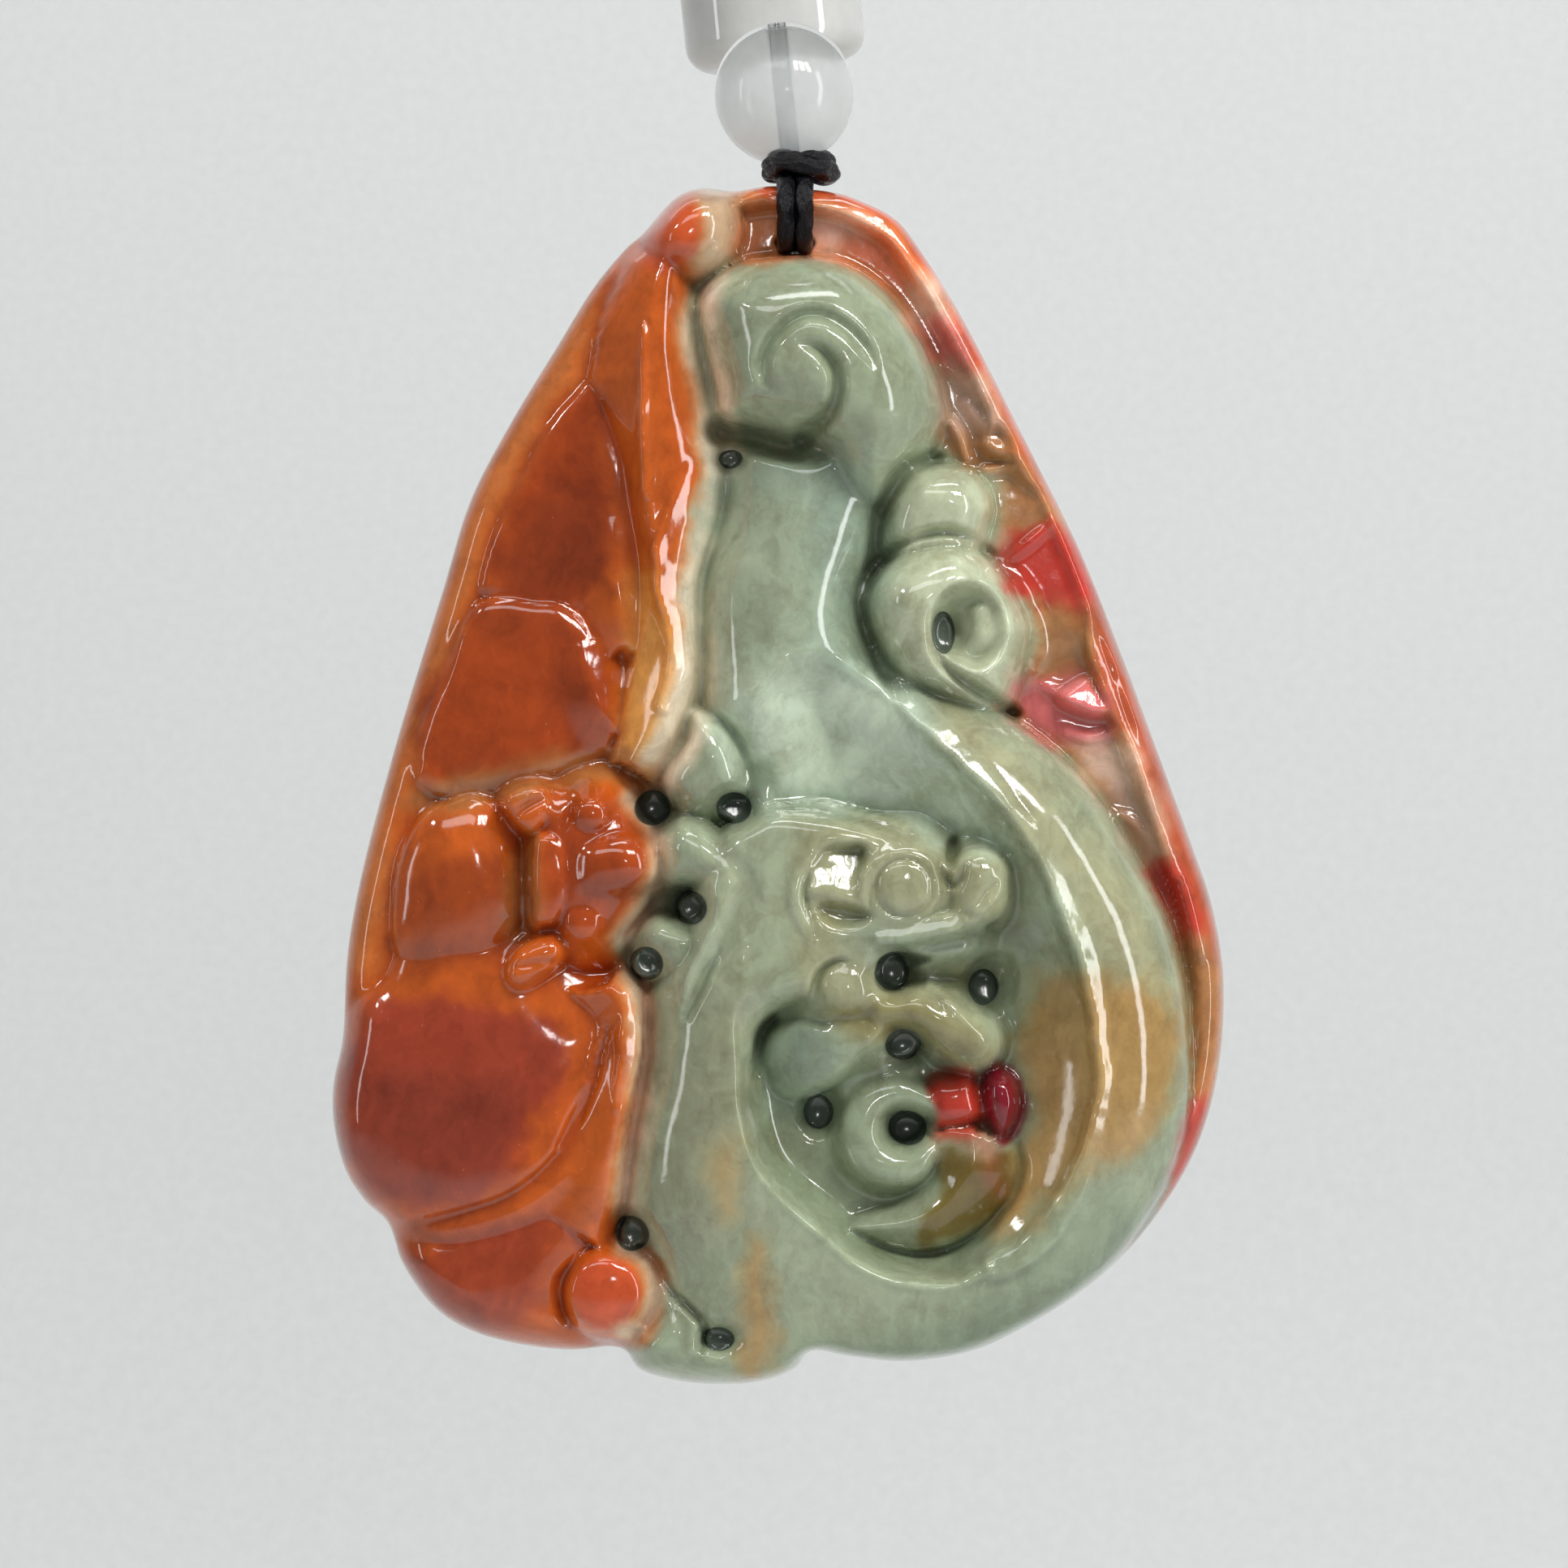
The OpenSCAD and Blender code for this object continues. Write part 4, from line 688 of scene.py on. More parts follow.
# The dragon's head and paws, and what lies inside the ring
headForms = [
    (lobe, dict(peak=(-3.2, -21.6), crest=7.3, fall=10, foot=5, edge=1.4), [
        (-4.3, -19.5), (-3.2, -19.75), (-2.5, -20.4), (-2, -21.3), (-1.7, -22.2), (-1.3, -23),
        (-1.9, -24.3), (-3.4, -24.4), (-4.6, -24.2), (-5.4, -23.2), (-5.5, -22.2), (-4.6, -20.8)]),
    (lobe, dict(peak=(-2, -25.8), crest=8, fall=5, foot=5.4, edge=1.5, soft=0.3), [
        (-5.3, -24.4), (-4.6, -24), (-3.6, -24.3), (-2.5, -24.9), (-1.4, -24.3), (0.5, -24.2),
        (0.8, -26.5), (-1.2, -27.5), (-3, -28), (-4.2, -27.2), (-5.3, -27), (-5.7, -26), (-5.8, -25.2)]),
    (lobe, dict(peak=(-4.6, -29.5), crest=7, fall=10, foot=5, edge=1.1), [
        (-5.8, -28.3), (-5, -28.4), (-3.9, -28.6), (-3.2, -29.2), (-3.7, -30.1), (-4.4, -30.9),
        (-5.2, -31.2), (-6.2, -31.2), (-6.8, -30.5), (-6.8, -29.5), (-6.4, -28.7)]),
    (lobe, dict(peak=(1.5, -28.5), crest=8.5, fall=0.9, foot=5.4, edge=1.3, soft=0.3, wall=5), [
        (-3.2, -24.9), (-1.6, -23.75), (-0.6, -23.45), (1, -23.6), (2.6, -23.9), (4, -24.3), (5, -24.6),
        (5.9, -25.1), (6.5, -25.8), (7.2, -26.2), (8.4, -27), (8.4, -28.8), (8.1, -29.8), (7.4, -30.4),
        (6.2, -30.6), (5.2, -30.9), (5.4, -31.4), (5, -32.6), (3.8, -33.1), (2.4, -33.1), (1.2, -32.5),
        (0.3, -32.3), (-0.7, -32.7), (-1.3, -33.4), (-1.6, -34.6), (-3, -34.8), (-4.2, -32), (-4.4, -28)]),
    (cut, {}, [(-2.6, -25.9, 0.5, 0.15), (-1.8, -27, 0.8, 0.25), (-2.3, -28.6, 0.9, 0.3),
               (-3, -30.4, 0.6, 0.1)]),
    (facet, dict(middle=(1.85, -26.4), level=8.2, soft=0.5), [
        (0.5, -27.5), (0.6, -26.2), (1.1, -25.4), (2, -25.1), (3.2, -25.2), (3.3, -26.3), (2.8, -27.4),
        (1.6, -27.6)]),
    (dish, dict(floor=7.9, wall=0.6), [
        (0.9, -27.9), (1.8, -27.6), (3, -27.9), (3.5, -28.4), (2.6, -28.9), (1.5, -28.7)]),
    (ribbon, {}, [(0.75, -25.9, 0.22), (0.35, -26.8, 0.43), (0.3, -27.8, 0.46), (0.7, -28.8, 0.4),
                  (0.9, -29.3, 0.22)]),
    (cut, {}, [(0.95, -25.7, 0.25, -0.05), (0.45, -26.6, 0.3, -0.2), (0.3, -27.6, 0.35, -0.22),
               (0.6, -28.5, 0.3, -0.15), (1, -29, 0.2, -0.03)]),
    (roll, dict(drop=0.8, wall=1.6, soft=0.15), [(4.75, -27.05, 1.95, 8.85)]),
    (cut, {}, [(4.75 + 1.2 * math.cos(a), -27.1 + 1.2 * math.sin(a), 0.17, 0.22)
               for a in np.linspace(0, 2 * math.pi, 25)]),
    (cut, {}, [(3.15, -27.5, 0.2, -0.05), (3.15, -26.8, 0.3, -0.2), (3.5, -26.1, 0.3, -0.2),
               (4, -25.6, 0.2, -0.05)]),
    (cut, {}, [(3.9, -25.5, 0.15, 0.05), (4.8, -25.25, 0.2, 0.16), (5.7, -25.45, 0.2, 0.16),
               (6.2, -26, 0.2, 0.14), (6.35, -27, 0.2, 0.1), (6, -28.1, 0.2, 0.14),
               (5.2, -28.6, 0.15, 0.05)]),
    (ribbon, {}, [(3.2, -27.8, 0.22), (3.1, -27, 0.34), (3.4, -26.2, 0.34), (4, -25.6, 0.22)]),
    (roll, dict(drop=1.4, wall=2.5, soft=0.2), [
        (7.9, -26.7, 1.3, 9.2), (7.85, -27.6, 1.25, 9.2), (7.5, -28.3, 0.9, 9)]),
    (roll, dict(drop=0.7, wall=1.4, soft=0.25), [
        (3.7, -29.3, 0.5, 8.6), (5.2, -29.1, 0.6, 8.8), (6.8, -28.7, 0.6, 8.9)]),
    (ribbon, {}, [(3.8, -29.2, 0.28), (5.2, -29, 0.43), (6.6, -28.6, 0.46), (7.3, -28.3, 0.28)]),
    (ribbon, {}, [(7.9, -28, 0.25), (8.4, -27.4, 0.46), (8.7, -26.9, 0.28)]),
    (cut, {}, [(6.25, -26, 0.2, 0.25), (6.4, -26.6, 0.25, 0.45), (6.85, -27.05, 0.25, 0.45),
               (7.15, -26.7, 0.25, 0.45), (7.3, -26.2, 0.2, 0.25)]),
    (cut, {}, [(6.9, -25.3, 0.4, 0.9), (6.8, -25.9, 0.35, 0.7), (6.9, -26.3, 0.2, 0.2)]),
    (cut, {}, [(7.3, -29, 0.2, 0.1), (8, -28.9, 0.3, 0.35), (8.6, -28.7, 0.35, 0.5)]),
    (cut, {}, [(4.2, -29.8, 0.3, 0.1), (5.6, -29.6, 0.5, 0.35), (7, -29.4, 0.5, 0.35),
               (8, -29.3, 0.4, 0.15)]),
    (lobe, dict(peak=(3.6, -33.2), crest=8.3, fall=9, foot=5.6, edge=0.7, soft=0.12, wall=4), [
        (-1.35, -34.4), (-1.2, -33.5), (-0.6, -32.85), (0.3, -32.5), (1.3, -32.6), (2.4, -32.9),
        (3.8, -32.8), (4.2, -33.4), (3.6, -34), (2.8, -34.8), (2, -35.5), (1.2, -36), (0.4, -36.2),
        (-0.5, -36), (-1.1, -35.3)]),
    (cut, {}, [(-1.5, -35.2, 0.25, 0.4), (-1.5, -34.2, 0.3, 0.8), (-1.2, -33.2, 0.35, 0.9),
               (-0.5, -32.6, 0.35, 0.8), (0.4, -32.35, 0.3, 0.6), (1.3, -32.6, 0.25, 0.3),
               (2, -32.9, 0.2, 0.1)]),
    (roll, dict(drop=0.5), [(2.2, -33.5, 0.9, 8.1), (3.6, -33.2, 0.75, 8.2)]),
    (roll, dict(drop=1.7, wall=3), [
        (3.9, -32.3, 0.9, 8.5), (5.3, -32.3, 1.05, 8.75), (6.6, -32.9, 1.3, 8.8), (7.7, -33.6, 1.3, 8.5)]),
    (ribbon, {}, [(5.8, -31.3, 0.25), (6.4, -31.9, 0.4), (7.2, -32.7, 0.4), (7.9, -33.4, 0.25)]),
    (cut, {}, [(5.9, -31.3, 0.25, -0.05), (6.5, -31.8, 0.3, -0.18), (7.2, -32.6, 0.3, -0.18),
               (8, -33.4, 0.25, -0.08)]),
    (dish, dict(floor=6, wall=0.6), [
        (3.5, -31), (3.65, -30.2), (4.2, -29.8), (5, -29.8), (6, -30.1), (5.4, -30.6), (5.1, -31.2),
        (4.5, -31.6), (3.8, -31.5)]),
    (dish, dict(floor=5.6, wall=0.7), [
        (7.4, -31.1), (7.7, -30.4), (8.3, -29.9), (9.3, -29.9), (9.7, -31), (9.5, -32.2), (8.9, -32.4),
        (8.2, -32.1), (7.6, -31.7)]),
    (cut, {}, [(2.25 + 1.22 * math.cos(a), -31.4 + 1.22 * math.sin(a), 0.1 + 0.2 * math.sin((a - 1.3) * 0.86),
                0.75 * math.sin((a - 1.3) * 0.86)) for a in np.linspace(1.35, 4.6, 12)]),
    (roll, dict(drop=0.5, wall=1), [(2.3, -31.4, 0.95, 8.75)]),
    (ribbon, {}, [(-3, -28.6, 0.25), (-3.5, -29.8, 0.52), (-4.1, -31.2, 0.57), (-4.6, -32.6, 0.31)]),
    (ribbon, {}, [(-1.6, -23.9, 0.22), (0.4, -23.6, 0.28), (2.4, -24, 0.28), (4.2, -24.5, 0.28),
                  (5.6, -25.1, 0.22)]),
    (roll, dict(drop=0.5, wall=1, soft=0.5), [(3, -35.4, 1.1, 6.4), (4.4, -34.9, 1, 6.4)]),
    (roll, dict(drop=0.9, wall=1.6, soft=0.35), [
        (5.7, -36.3, 0.7, 6.8), (4.6, -35.9, 0.8, 6.9), (3.5, -36.3, 0.9, 7), (3, -37.3, 0.95, 7.1),
        (3.2, -38.4, 0.95, 7.1), (4.1, -39, 0.9, 7.1), (5.1, -38.9, 0.85, 7), (5.6, -38.3, 0.7, 6.8)]),
    (lobe, dict(peak=(6.8, -36.4), crest=6.9, fall=6, foot=5.4, edge=1, soft=0.3), [
        (5.8, -35.4), (6.8, -35), (7.8, -35.1), (8.2, -36.2), (8.2, -37), (7.2, -37.5), (6, -37.4),
        (5.6, -36.6)]),
    (lobe, dict(peak=(8.9, -36.2), crest=7.3, fall=10, foot=5.4, edge=0.9, soft=0.15), [
        (8.1, -35.3), (8.8, -34.8), (9.6, -35.2), (9.9, -36.3), (9.6, -37.4), (9, -38), (8.5, -37.5),
        (8.1, -36.5)]),
    (band, dict(bulge=(1, 1.3), wall=2, soft=0.15), (
        [(6, -37.5, 6.5), (6.3, -39.2, 6.3), (5.7, -40.1, 6.2), (4.6, -40.8, 6.1), (3.2, -41.2, 6),
         (2.4, -41.5, 6)],
        [(7.6, -37.4, 6.9), (7.7, -38.7, 7.1), (7.2, -39.6, 7.1), (6.5, -40.5, 7), (5.4, -41.2, 6.9),
         (4, -41.5, 6.7), (2.5, -41.65, 6.3)],
        [(9.1, -37.8, 6.3), (9.6, -38.8, 6.3), (9.4, -39.9, 6.3), (8.7, -41, 6.2), (7.5, -42, 6.2),
         (6, -42.5, 6.2), (4.6, -42.5, 6.1), (3.4, -42.1, 6), (2.5, -41.75, 6)])),
    (cut, {}, [(9.6, -38, 0.2, 0.2), (9.8, -39, 0.3, 0.5), (9.4, -40.3, 0.35, 0.6),
               (8.5, -41.5, 0.35, 0.6), (7.2, -42.4, 0.35, 0.6), (5.6, -42.8, 0.3, 0.5),
               (4.2, -42.6, 0.25, 0.3), (3.2, -42.2, 0.2, 0.1)]),
]

# Drilled pits: across, up, half width, half height, how far the bowl turns to the window
pitRows = [
    (4.28, -30.7, 0.72, 0.78, 0.1), (8.2, -31.4, 0.62, 0.75, 0.9), (4.75, -33.8, 0.76, 0.66, 0.1),
    (1.16, -36.75, 0.62, 0.72, 0.1), (4.95, -37.4, 0.8, 0.72, 0.1), (-5.95, -23.75, 0.74, 0.74, 0.1),
    (-2.45, -23.75, 0.74, 0.66, 0.9), (-4.3, -28, 0.7, 0.7, 0.1), (-6.2, -30.4, 0.72, 0.72, 0.9),
    (-6.8, -41.95, 0.72, 0.74, 0.1), (-3.1, -46.3, 0.66, 0.5, 0.5), (-2.6, -8.8, 0.5, 0.4, 0.3),
    (6.45, -16.3, 0.5, 0.9, 0.6)]


def rimCrest(q):
    # how far in from the outline the rim's crest lies
    least, more, start, over = carving["rimCrest"]
    return least + more * ease((start - q[:, 1]) / over)


def beside(q, rows, reach):
    # which points lie in the box round the rows, widened by the reach
    places = [row[:2] for row in rows]
    return np.where(np.all((q > np.min(places, 0) - reach) & (q < np.max(places, 0) + reach), 1))[0]


def carve(q):
    # heights of the carved face at points of the drawing
    s = carving
    inset = signedDistance(q, curve(outlineRows, True, 4))
    side = ease((s["leftSide"][0] - q[:, 0]) / s["leftSide"][1])
    rim = 1 - ease((inset - rimCrest(q)) / s["rimSlope"])
    h = s["groundHeight"] + (s["plateHeight"] - s["groundHeight"]) * side
    top, bottom, soft, left = s["rimGap"]
    ends = ease((q[:, 1] - top) / soft) + ease((bottom - q[:, 1]) / soft)
    h = h + (1 - side) * s["rimHeight"] * (rim * ends + left * (1 - ends))
    for make, settings, rows in batForms + dragonForms + headForms:
        parts = rows if make is band else [rows]
        m = beside(q, sum(parts, []), s["formReach"])
        if len(m):
            h[m] = make(q[m], h[m], *parts, **settings)
    for across, up, halfWidth, halfHeight, _ in pitRows:
        away = np.hypot((q[:, 0] - across) / halfWidth, (q[:, 1] - up) / halfHeight)
        h = h - s["pitHollow"] * ease((s["pitReach"] - away) / (s["pitReach"] - 1))
    return h


# Colours of the stone, as they show in daylight, except the pits' dark colour, which is painted shade, and
# the lower neck's lightened green, which is painted light
stone = {
    "green": "98a287", "paleGreen": "a6b094", "coolGreen": "93a594", "deepGreen": "7c8b72",
    "olive": "aca884", "headOlive": "a2a280", "beige": "cfa77e", "paleBeige": "e6d6bc", "orange": "c45a1c",
    "brightOrange": "c25c20", "deepOrange": "9f3d14", "rust": "8c3815", "plateTan": "cc773e",
    "brownTan": "b07440", "brickRed": "9a3c26", "wineBrown": "873826", "red": "c23a2d", "rimRed": "c9512c",
    "crimson": "df7577", "litNeck": "c6d4bd", "curlPale": "c3c9ab", "columnGrey": "989a7e",
    "armGold": "f0aa54", "jawOlive": "877f54", "topBrick": "f88c62", "pinkGrey": "c9a796", "tan": "ae7f55",
    "rimPink": "b06252", "rimOrange": "b85334", "pinkBeige": "fbdccb", "greyBeige": "c0a88c",
    "brownStain": "b48a50", "goldStain": "bf9b63", "wine": "7c1424", "scarlet": "ba3a2b",
    "tailTan": "705c26", "pitDark": "3c4941",
}

# Where each colour lies. Columns: shape, colour, softness, strength, wander, points. A streak's points have a
# half width too
painted = [
    ("area", "orange", 0.35, 1, 0.35, [
        (-2.2, 5), (-2.1, 1.6), (-2.3, -0.2), (-3.4, -1.1), (-4.2, -1.5), (-4.1, -3), (-3.9, -4.5),
        (-3.7, -5.5), (-3.4, -6.8), (-3.05, -8), (-2.95, -9.5), (-3, -10.6), (-3.3, -12), (-3.7, -13.2),
        (-3.95, -14.3), (-3.85, -16), (-3.8, -17), (-4, -18.5), (-4.3, -20), (-5, -21.5), (-5.6, -22.6),
        (-5.9, -24.3), (-5.6, -26), (-5.8, -27.3), (-6.6, -28.7), (-7.6, -29.8), (-7, -30.8),
        (-6.2, -31.5), (-6.1, -33), (-6.4, -35.2), (-6.8, -37.5), (-7.1, -39.5), (-7.5, -42),
        (-5.8, -43.2), (-5.4, -44.6), (-6, -46.2), (-7.6, -47.4), (-8, -50), (-24, -50), (-24, 5)]),
    ("area", "plateTan", 0.3, 1, 0.3, [
        (-2, 5), (-2, 1), (-2.2, -0.35), (-1, -0.1), (1, -0.1), (2.3, -0.35), (3.5, -1), (4.7, -2.2),
        (5.7, -3.8), (6.3, -5.2), (6.6, -6.6), (6.5, -7.8), (7.4, -8.9), (8.4, -9.4), (8.9, -10.6),
        (8.7, -12.2), (9.6, -13.8), (10.4, -15.4), (10.4, -17), (10, -18.6), (9.7, -19.8), (11.4, -21.3),
        (13.1, -23.1), (14.6, -25.4), (16, -28), (16.9, -31), (17.2, -34), (17.1, -37), (16.3, -39.8),
        (15, -42.2), (14.2, -43.6), (16, -46), (24, -40), (24, -10), (12, 5)]),
    ("streak", "brightOrange", 0.5, 0.6, 0.5, [
        (-6.3, -3, 0.8), (-6.4, -8, 0.9), (-6.3, -12, 1.1), (-6.2, -15, 1), (-6.3, -19, 1.2)]),
    ("streak", "armGold", 0.9, 0.9, 0.5, [
        (-6.2, -14, 0.5), (-5.9, -16.5, 0.9), (-6, -19, 1.2), (-6.8, -21, 1.4)]),
    ("streak", "paleBeige", 0.5, 1, 0.35, [
        (-3.2, -0.4, 0.6), (-3.9, -2.5, 0.7), (-3.8, -5, 0.7), (-3.3, -7.5, 0.9), (-3, -9.8, 0.9),
        (-3.4, -12, 0.9), (-4, -14, 0.9), (-4, -16.5, 0.9), (-4.1, -18.5, 1), (-4.7, -20.5, 1.1),
        (-5.8, -22.3, 1.1)]),
    ("area", "greyBeige", 0.6, 0.9, 0.3, [
        (-4.1, 3.6), (-3, 3.2), (-2.2, 2), (-2, 0.6), (-2.8, -0.4), (-3.6, -0.9), (-4.2, -0.6),
        (-3.9, 0.6), (-4.2, 2)]),
    ("area", "plateTan", 0.7, 0.85, 0.6, [
        (-8.6, -1), (-10.2, -3.6), (-12.4, -7.4), (-14, -10.6), (-15.4, -14.6), (-17.2, -20.6),
        (-18.8, -26.2), (-19.6, -30), (-18.2, -30.6), (-17.2, -27), (-16.6, -23), (-16.2, -20.4),
        (-14.6, -16.4), (-13.4, -12.2), (-11.4, -8.4), (-9.4, -5.2), (-8.4, -2.6)]),
    ("area", "deepOrange", 0.8, 0.8, 0.8, [
        (-9, -5.6), (-10.8, -7.8), (-12.4, -11.2), (-13.2, -14.2), (-10.8, -15.2), (-8.4, -14.6),
        (-7.8, -10.6), (-8, -7.4)]),
    ("area", "rust", 0.9, 0.75, 0.8, [
        (-10.4, -10), (-11.8, -12.4), (-12.6, -14.4), (-9.6, -14.8), (-8.2, -13.4), (-8, -11.4),
        (-9, -10)]),
    ("area", "deepOrange", 0.6, 0.75, 0.6, [
        (-15.8, -22.2), (-15.6, -19.4), (-14.4, -16.8), (-13.2, -15), (-11, -15), (-9.2, -15.6),
        (-8, -17.4), (-7.4, -19.8), (-8.2, -21.6), (-11, -22.8)]),
    ("streak", "rust", 0.7, 0.6, 0.7, [
        (-13, -15.8, 0.8), (-11, -15.6, 0.9), (-9.6, -16.6, 0.7), (-9.6, -19.4, 0.6), (-9, -21, 0.6)]),
    ("streak", "brownTan", 0.5, 0.85, 0.5, [
        (-16, -23.4, 0.5), (-13.5, -22.9, 0.6), (-10.5, -22.2, 0.7), (-8, -21.8, 0.8), (-6.6, -22.6, 0.7)]),
    ("area", "rust", 0.9, 0.6, 0.7, [
        (-16.8, -27), (-16.9, -29.8), (-15.6, -30.8), (-13.2, -30.6), (-11.6, -29), (-11.6, -26.6),
        (-13.4, -25.6), (-15.4, -25.8)]),
    ("area", "brownTan", 0.5, 0.7, 0.4, [
        (-11.6, -25), (-10.9, -24.9), (-10.9, -28.8), (-12.2, -29.4), (-12.4, -27)]),
    ("area", "deepOrange", 0.7, 0.75, 0.4, [
        (-10.6, -24.6), (-8.6, -23.2), (-6.6, -23.8), (-5.9, -25.8), (-6.8, -28.4), (-8.8, -29.4),
        (-10.6, -28.6)]),
    ("streak", "paleBeige", 0.4, 0.85, 0.2, [
        (-6.9, -23.4, 0.35), (-5.9, -24.6, 0.4), (-5.6, -26.2, 0.45), (-6.2, -28, 0.5),
        (-7.4, -29.4, 0.4)]),
    ("area", "brickRed", 0.8, 0.95, 0.9, [
        (-19.8, -36.4), (-19, -33.6), (-17.4, -32), (-13, -32.4), (-9.6, -33.4), (-9.4, -36.2),
        (-10.8, -39), (-13, -40.6), (-16, -41.2), (-18.6, -40.4)]),
    ("area", "wineBrown", 1, 0.7, 0.9, [
        (-18.6, -38.2), (-18.2, -35.6), (-14, -35), (-11.6, -36.6), (-12.2, -39.4), (-16, -40.8)]),
    ("streak", "orange", 0.6, 0.8, 0.7, [
        (-9, -33, 0.6), (-9.3, -36, 0.8), (-10.6, -38.8, 0.8), (-12.8, -40.6, 0.5)]),
    ("area", "brickRed", 0.9, 0.8, 0.9, [
        (-17.2, -42.6), (-14, -42), (-11.4, -41.2), (-10, -41.6), (-10.4, -43.4), (-11.6, -45.6),
        (-14.4, -46)]),
    ("streak", "brightOrange", 0.5, 0.7, 0.6, [
        (-7.6, -33, 0.5), (-7.9, -36, 0.6), (-8.6, -39, 0.8), (-9.2, -41.6, 0.8)]),
    ("streak", "paleBeige", 0.5, 0.9, 0.35, [
        (-7, -30.9, 0.4), (-6.3, -32.4, 0.5), (-6.4, -35, 0.5), (-6.8, -38, 0.5), (-7.2, -40.6, 0.5)]),
    ("area", "rimRed", 0.2, 0.9, 0.1, [
        (-9.4, -44.4), (-8.9, -43.3), (-7.9, -42.85), (-6.9, -43.2), (-6.4, -44.2), (-6.6, -45.3),
        (-7.6, -45.95), (-8.8, -45.7)]),
    ("area", "paleBeige", 0.35, 0.85, 0.2, [
        (-6.6, -42.6), (-5.8, -43.4), (-5.3, -44.6), (-5.9, -45.9), (-7.2, -46.6), (-7.6, -46),
        (-6.6, -45.4), (-6.2, -44.2), (-6.7, -43.2), (-7.6, -42.7), (-7.6, -42.2)]),
    ("area", "rimRed", 0.35, 0.75, 0.2, [
        (-6.6, 0.8), (-6.3, 1.9), (-5.4, 2.3), (-4.3, 1.9), (-4, 0.7), (-4.5, -0.5), (-5.5, -0.9),
        (-6.3, -0.3)]),
    ("area", "topBrick", 0.5, 0.95, 0.3, [
        (-2, 1.9), (0, 1.9), (2.6, 1.6), (4.4, 0.6), (5.6, -1.2), (6.2, -2.6), (5.4, -3.4), (4.4, -1.9),
        (3.2, -0.8), (1.4, -0.2), (-2, -0.2)]),
    ("area", "pinkBeige", 0.9, 0.7, 0.6, [(0.8, 1.9), (2.6, 1.7), (3.2, 1.1), (2.2, 0.2), (1, 0.4)]),
    ("area", "brownTan", 0.6, 0.7, 0.5, [(-1.8, 2.2), (-0.5, 2.2), (-0.5, 0.2), (-1.8, -0.1)]),
    ("streak", "rimRed", 0.35, 0.95, 0.3, [
        (-1, 2.9, 0.45), (2, 2.6, 0.5), (4.5, 1.5, 0.5), (5.6, 0.3, 0.6), (7.6, -2.9, 0.6),
        (10, -7.6, 0.6), (11.4, -10.4, 0.5)]),
    ("streak", "rimPink", 0.6, 0.9, 0.5, [
        (12.2, -12.4, 0.6), (13.6, -15.4, 0.9), (14.6, -18.4, 0.7), (15.6, -20.8, 0.6),
        (16.6, -23.4, 0.6), (17.6, -26.4, 0.6), (18.4, -29, 0.6)]),
    ("streak", "rimOrange", 0.35, 0.9, 0.3, [
        (12.9, -15.4, 0.3), (13.4, -17.2, 0.5), (14.3, -19.2, 0.5), (15.3, -21.6, 0.5),
        (16.2, -24.2, 0.5), (17.2, -27.2, 0.5), (17.9, -30, 0.5)]),
    ("area", "pinkBeige", 0.8, 0.85, 0.6, [(4.9, -1.2), (6.2, -1.4), (7, -3), (6, -3.3), (5.2, -2.6)]),
    ("area", "crimson", 0.7, 0.85, 0.7, [(5.8, -3), (7.2, -3.1), (8, -5), (6.9, -5.3), (6.3, -5)]),
    ("area", "pinkGrey", 0.8, 0.95, 0.6, [
        (6.2, -5.2), (8.2, -5.2), (9.2, -7.4), (8.6, -8), (7.2, -8.2), (6.4, -7.4)]),
    ("area", "tan", 0.8, 0.8, 0.6, [
        (6.4, -8), (9, -7.8), (10.4, -9.4), (11.6, -11.6), (9.8, -12), (8.6, -11), (8, -9.2)]),
    ("area", "red", 0.5, 1, 0.8, [
        (8.3, -12), (11.6, -11.8), (12.6, -12.4), (13.4, -14.8), (11.8, -15), (10.4, -14.8), (9.2, -13.4)]),
    ("area", "tan", 0.8, 0.9, 0.7, [
        (10.2, -15.2), (12.2, -15.2), (13, -17.4), (12.4, -18.2), (10.8, -18.2), (10.3, -17.2)]),
    ("area", "crimson", 0.6, 0.95, 0.8, [
        (9.6, -18.7), (12.4, -18), (13.8, -19.8), (13.4, -21), (11.8, -21.3), (10.2, -20)]),
    ("area", "pinkBeige", 0.8, 0.9, 0.7, [
        (11.8, -21.4), (14.2, -20.8), (15, -22.4), (14.6, -23.6), (13.2, -23.2)]),
    ("area", "pinkGrey", 0.9, 0.9, 0.7, [
        (13.4, -23.4), (15, -22.8), (16, -25), (16.2, -26.2), (15, -26.2)]),
    ("area", "red", 0.6, 0.95, 0.6, [
        (15.2, -26.6), (16.6, -26), (17.4, -28.4), (17, -29.8), (16.2, -28.6)]),
    ("area", "tan", 0.8, 0.85, 0.6, [
        (16.6, -29.8), (17.8, -29.6), (18.4, -33), (17.8, -35.6), (17.1, -33)]),
    ("streak", "red", 0.5, 0.9, 0.6, [
        (17.6, -36.4, 0.5), (17, -39, 0.6), (15.8, -41.4, 0.6), (14.6, -43, 0.5)]),
    ("area", "coolGreen", 1.5, 0.9, 1.2, [
        (-3, -9.5), (2.6, -9.6), (3.4, -13), (3.2, -17), (6, -20.6), (8.6, -24), (4, -24.2), (-1, -23),
        (-3.6, -18), (-3.4, -13)]),
    ("area", "paleGreen", 1.2, 0.7, 1, [
        (-2.8, -10.4), (0.6, -11), (1.6, -15), (0.6, -19), (-2.4, -20), (-3.4, -16)]),
    # painted light: the lower neck and upper bowl lightened where their slopes face down into shade
    ("area", "litNeck", 1.2, 0.9, 0.8, [
        (-3.4, -18.8), (0, -17.6), (4.4, -19.2), (8, -22.8), (10.8, -26.4), (12, -29.4), (10.6, -28.6),
        (8.4, -25.4), (4, -23.8), (0, -22.8), (-2.2, -22)]),
    ("area", "deepGreen", 0.5, 0.8, 0.3, [
        (-2, -22.3), (-0.8, -21.6), (-0.4, -22.6), (-1.2, -23.3), (-2, -23.2)]),
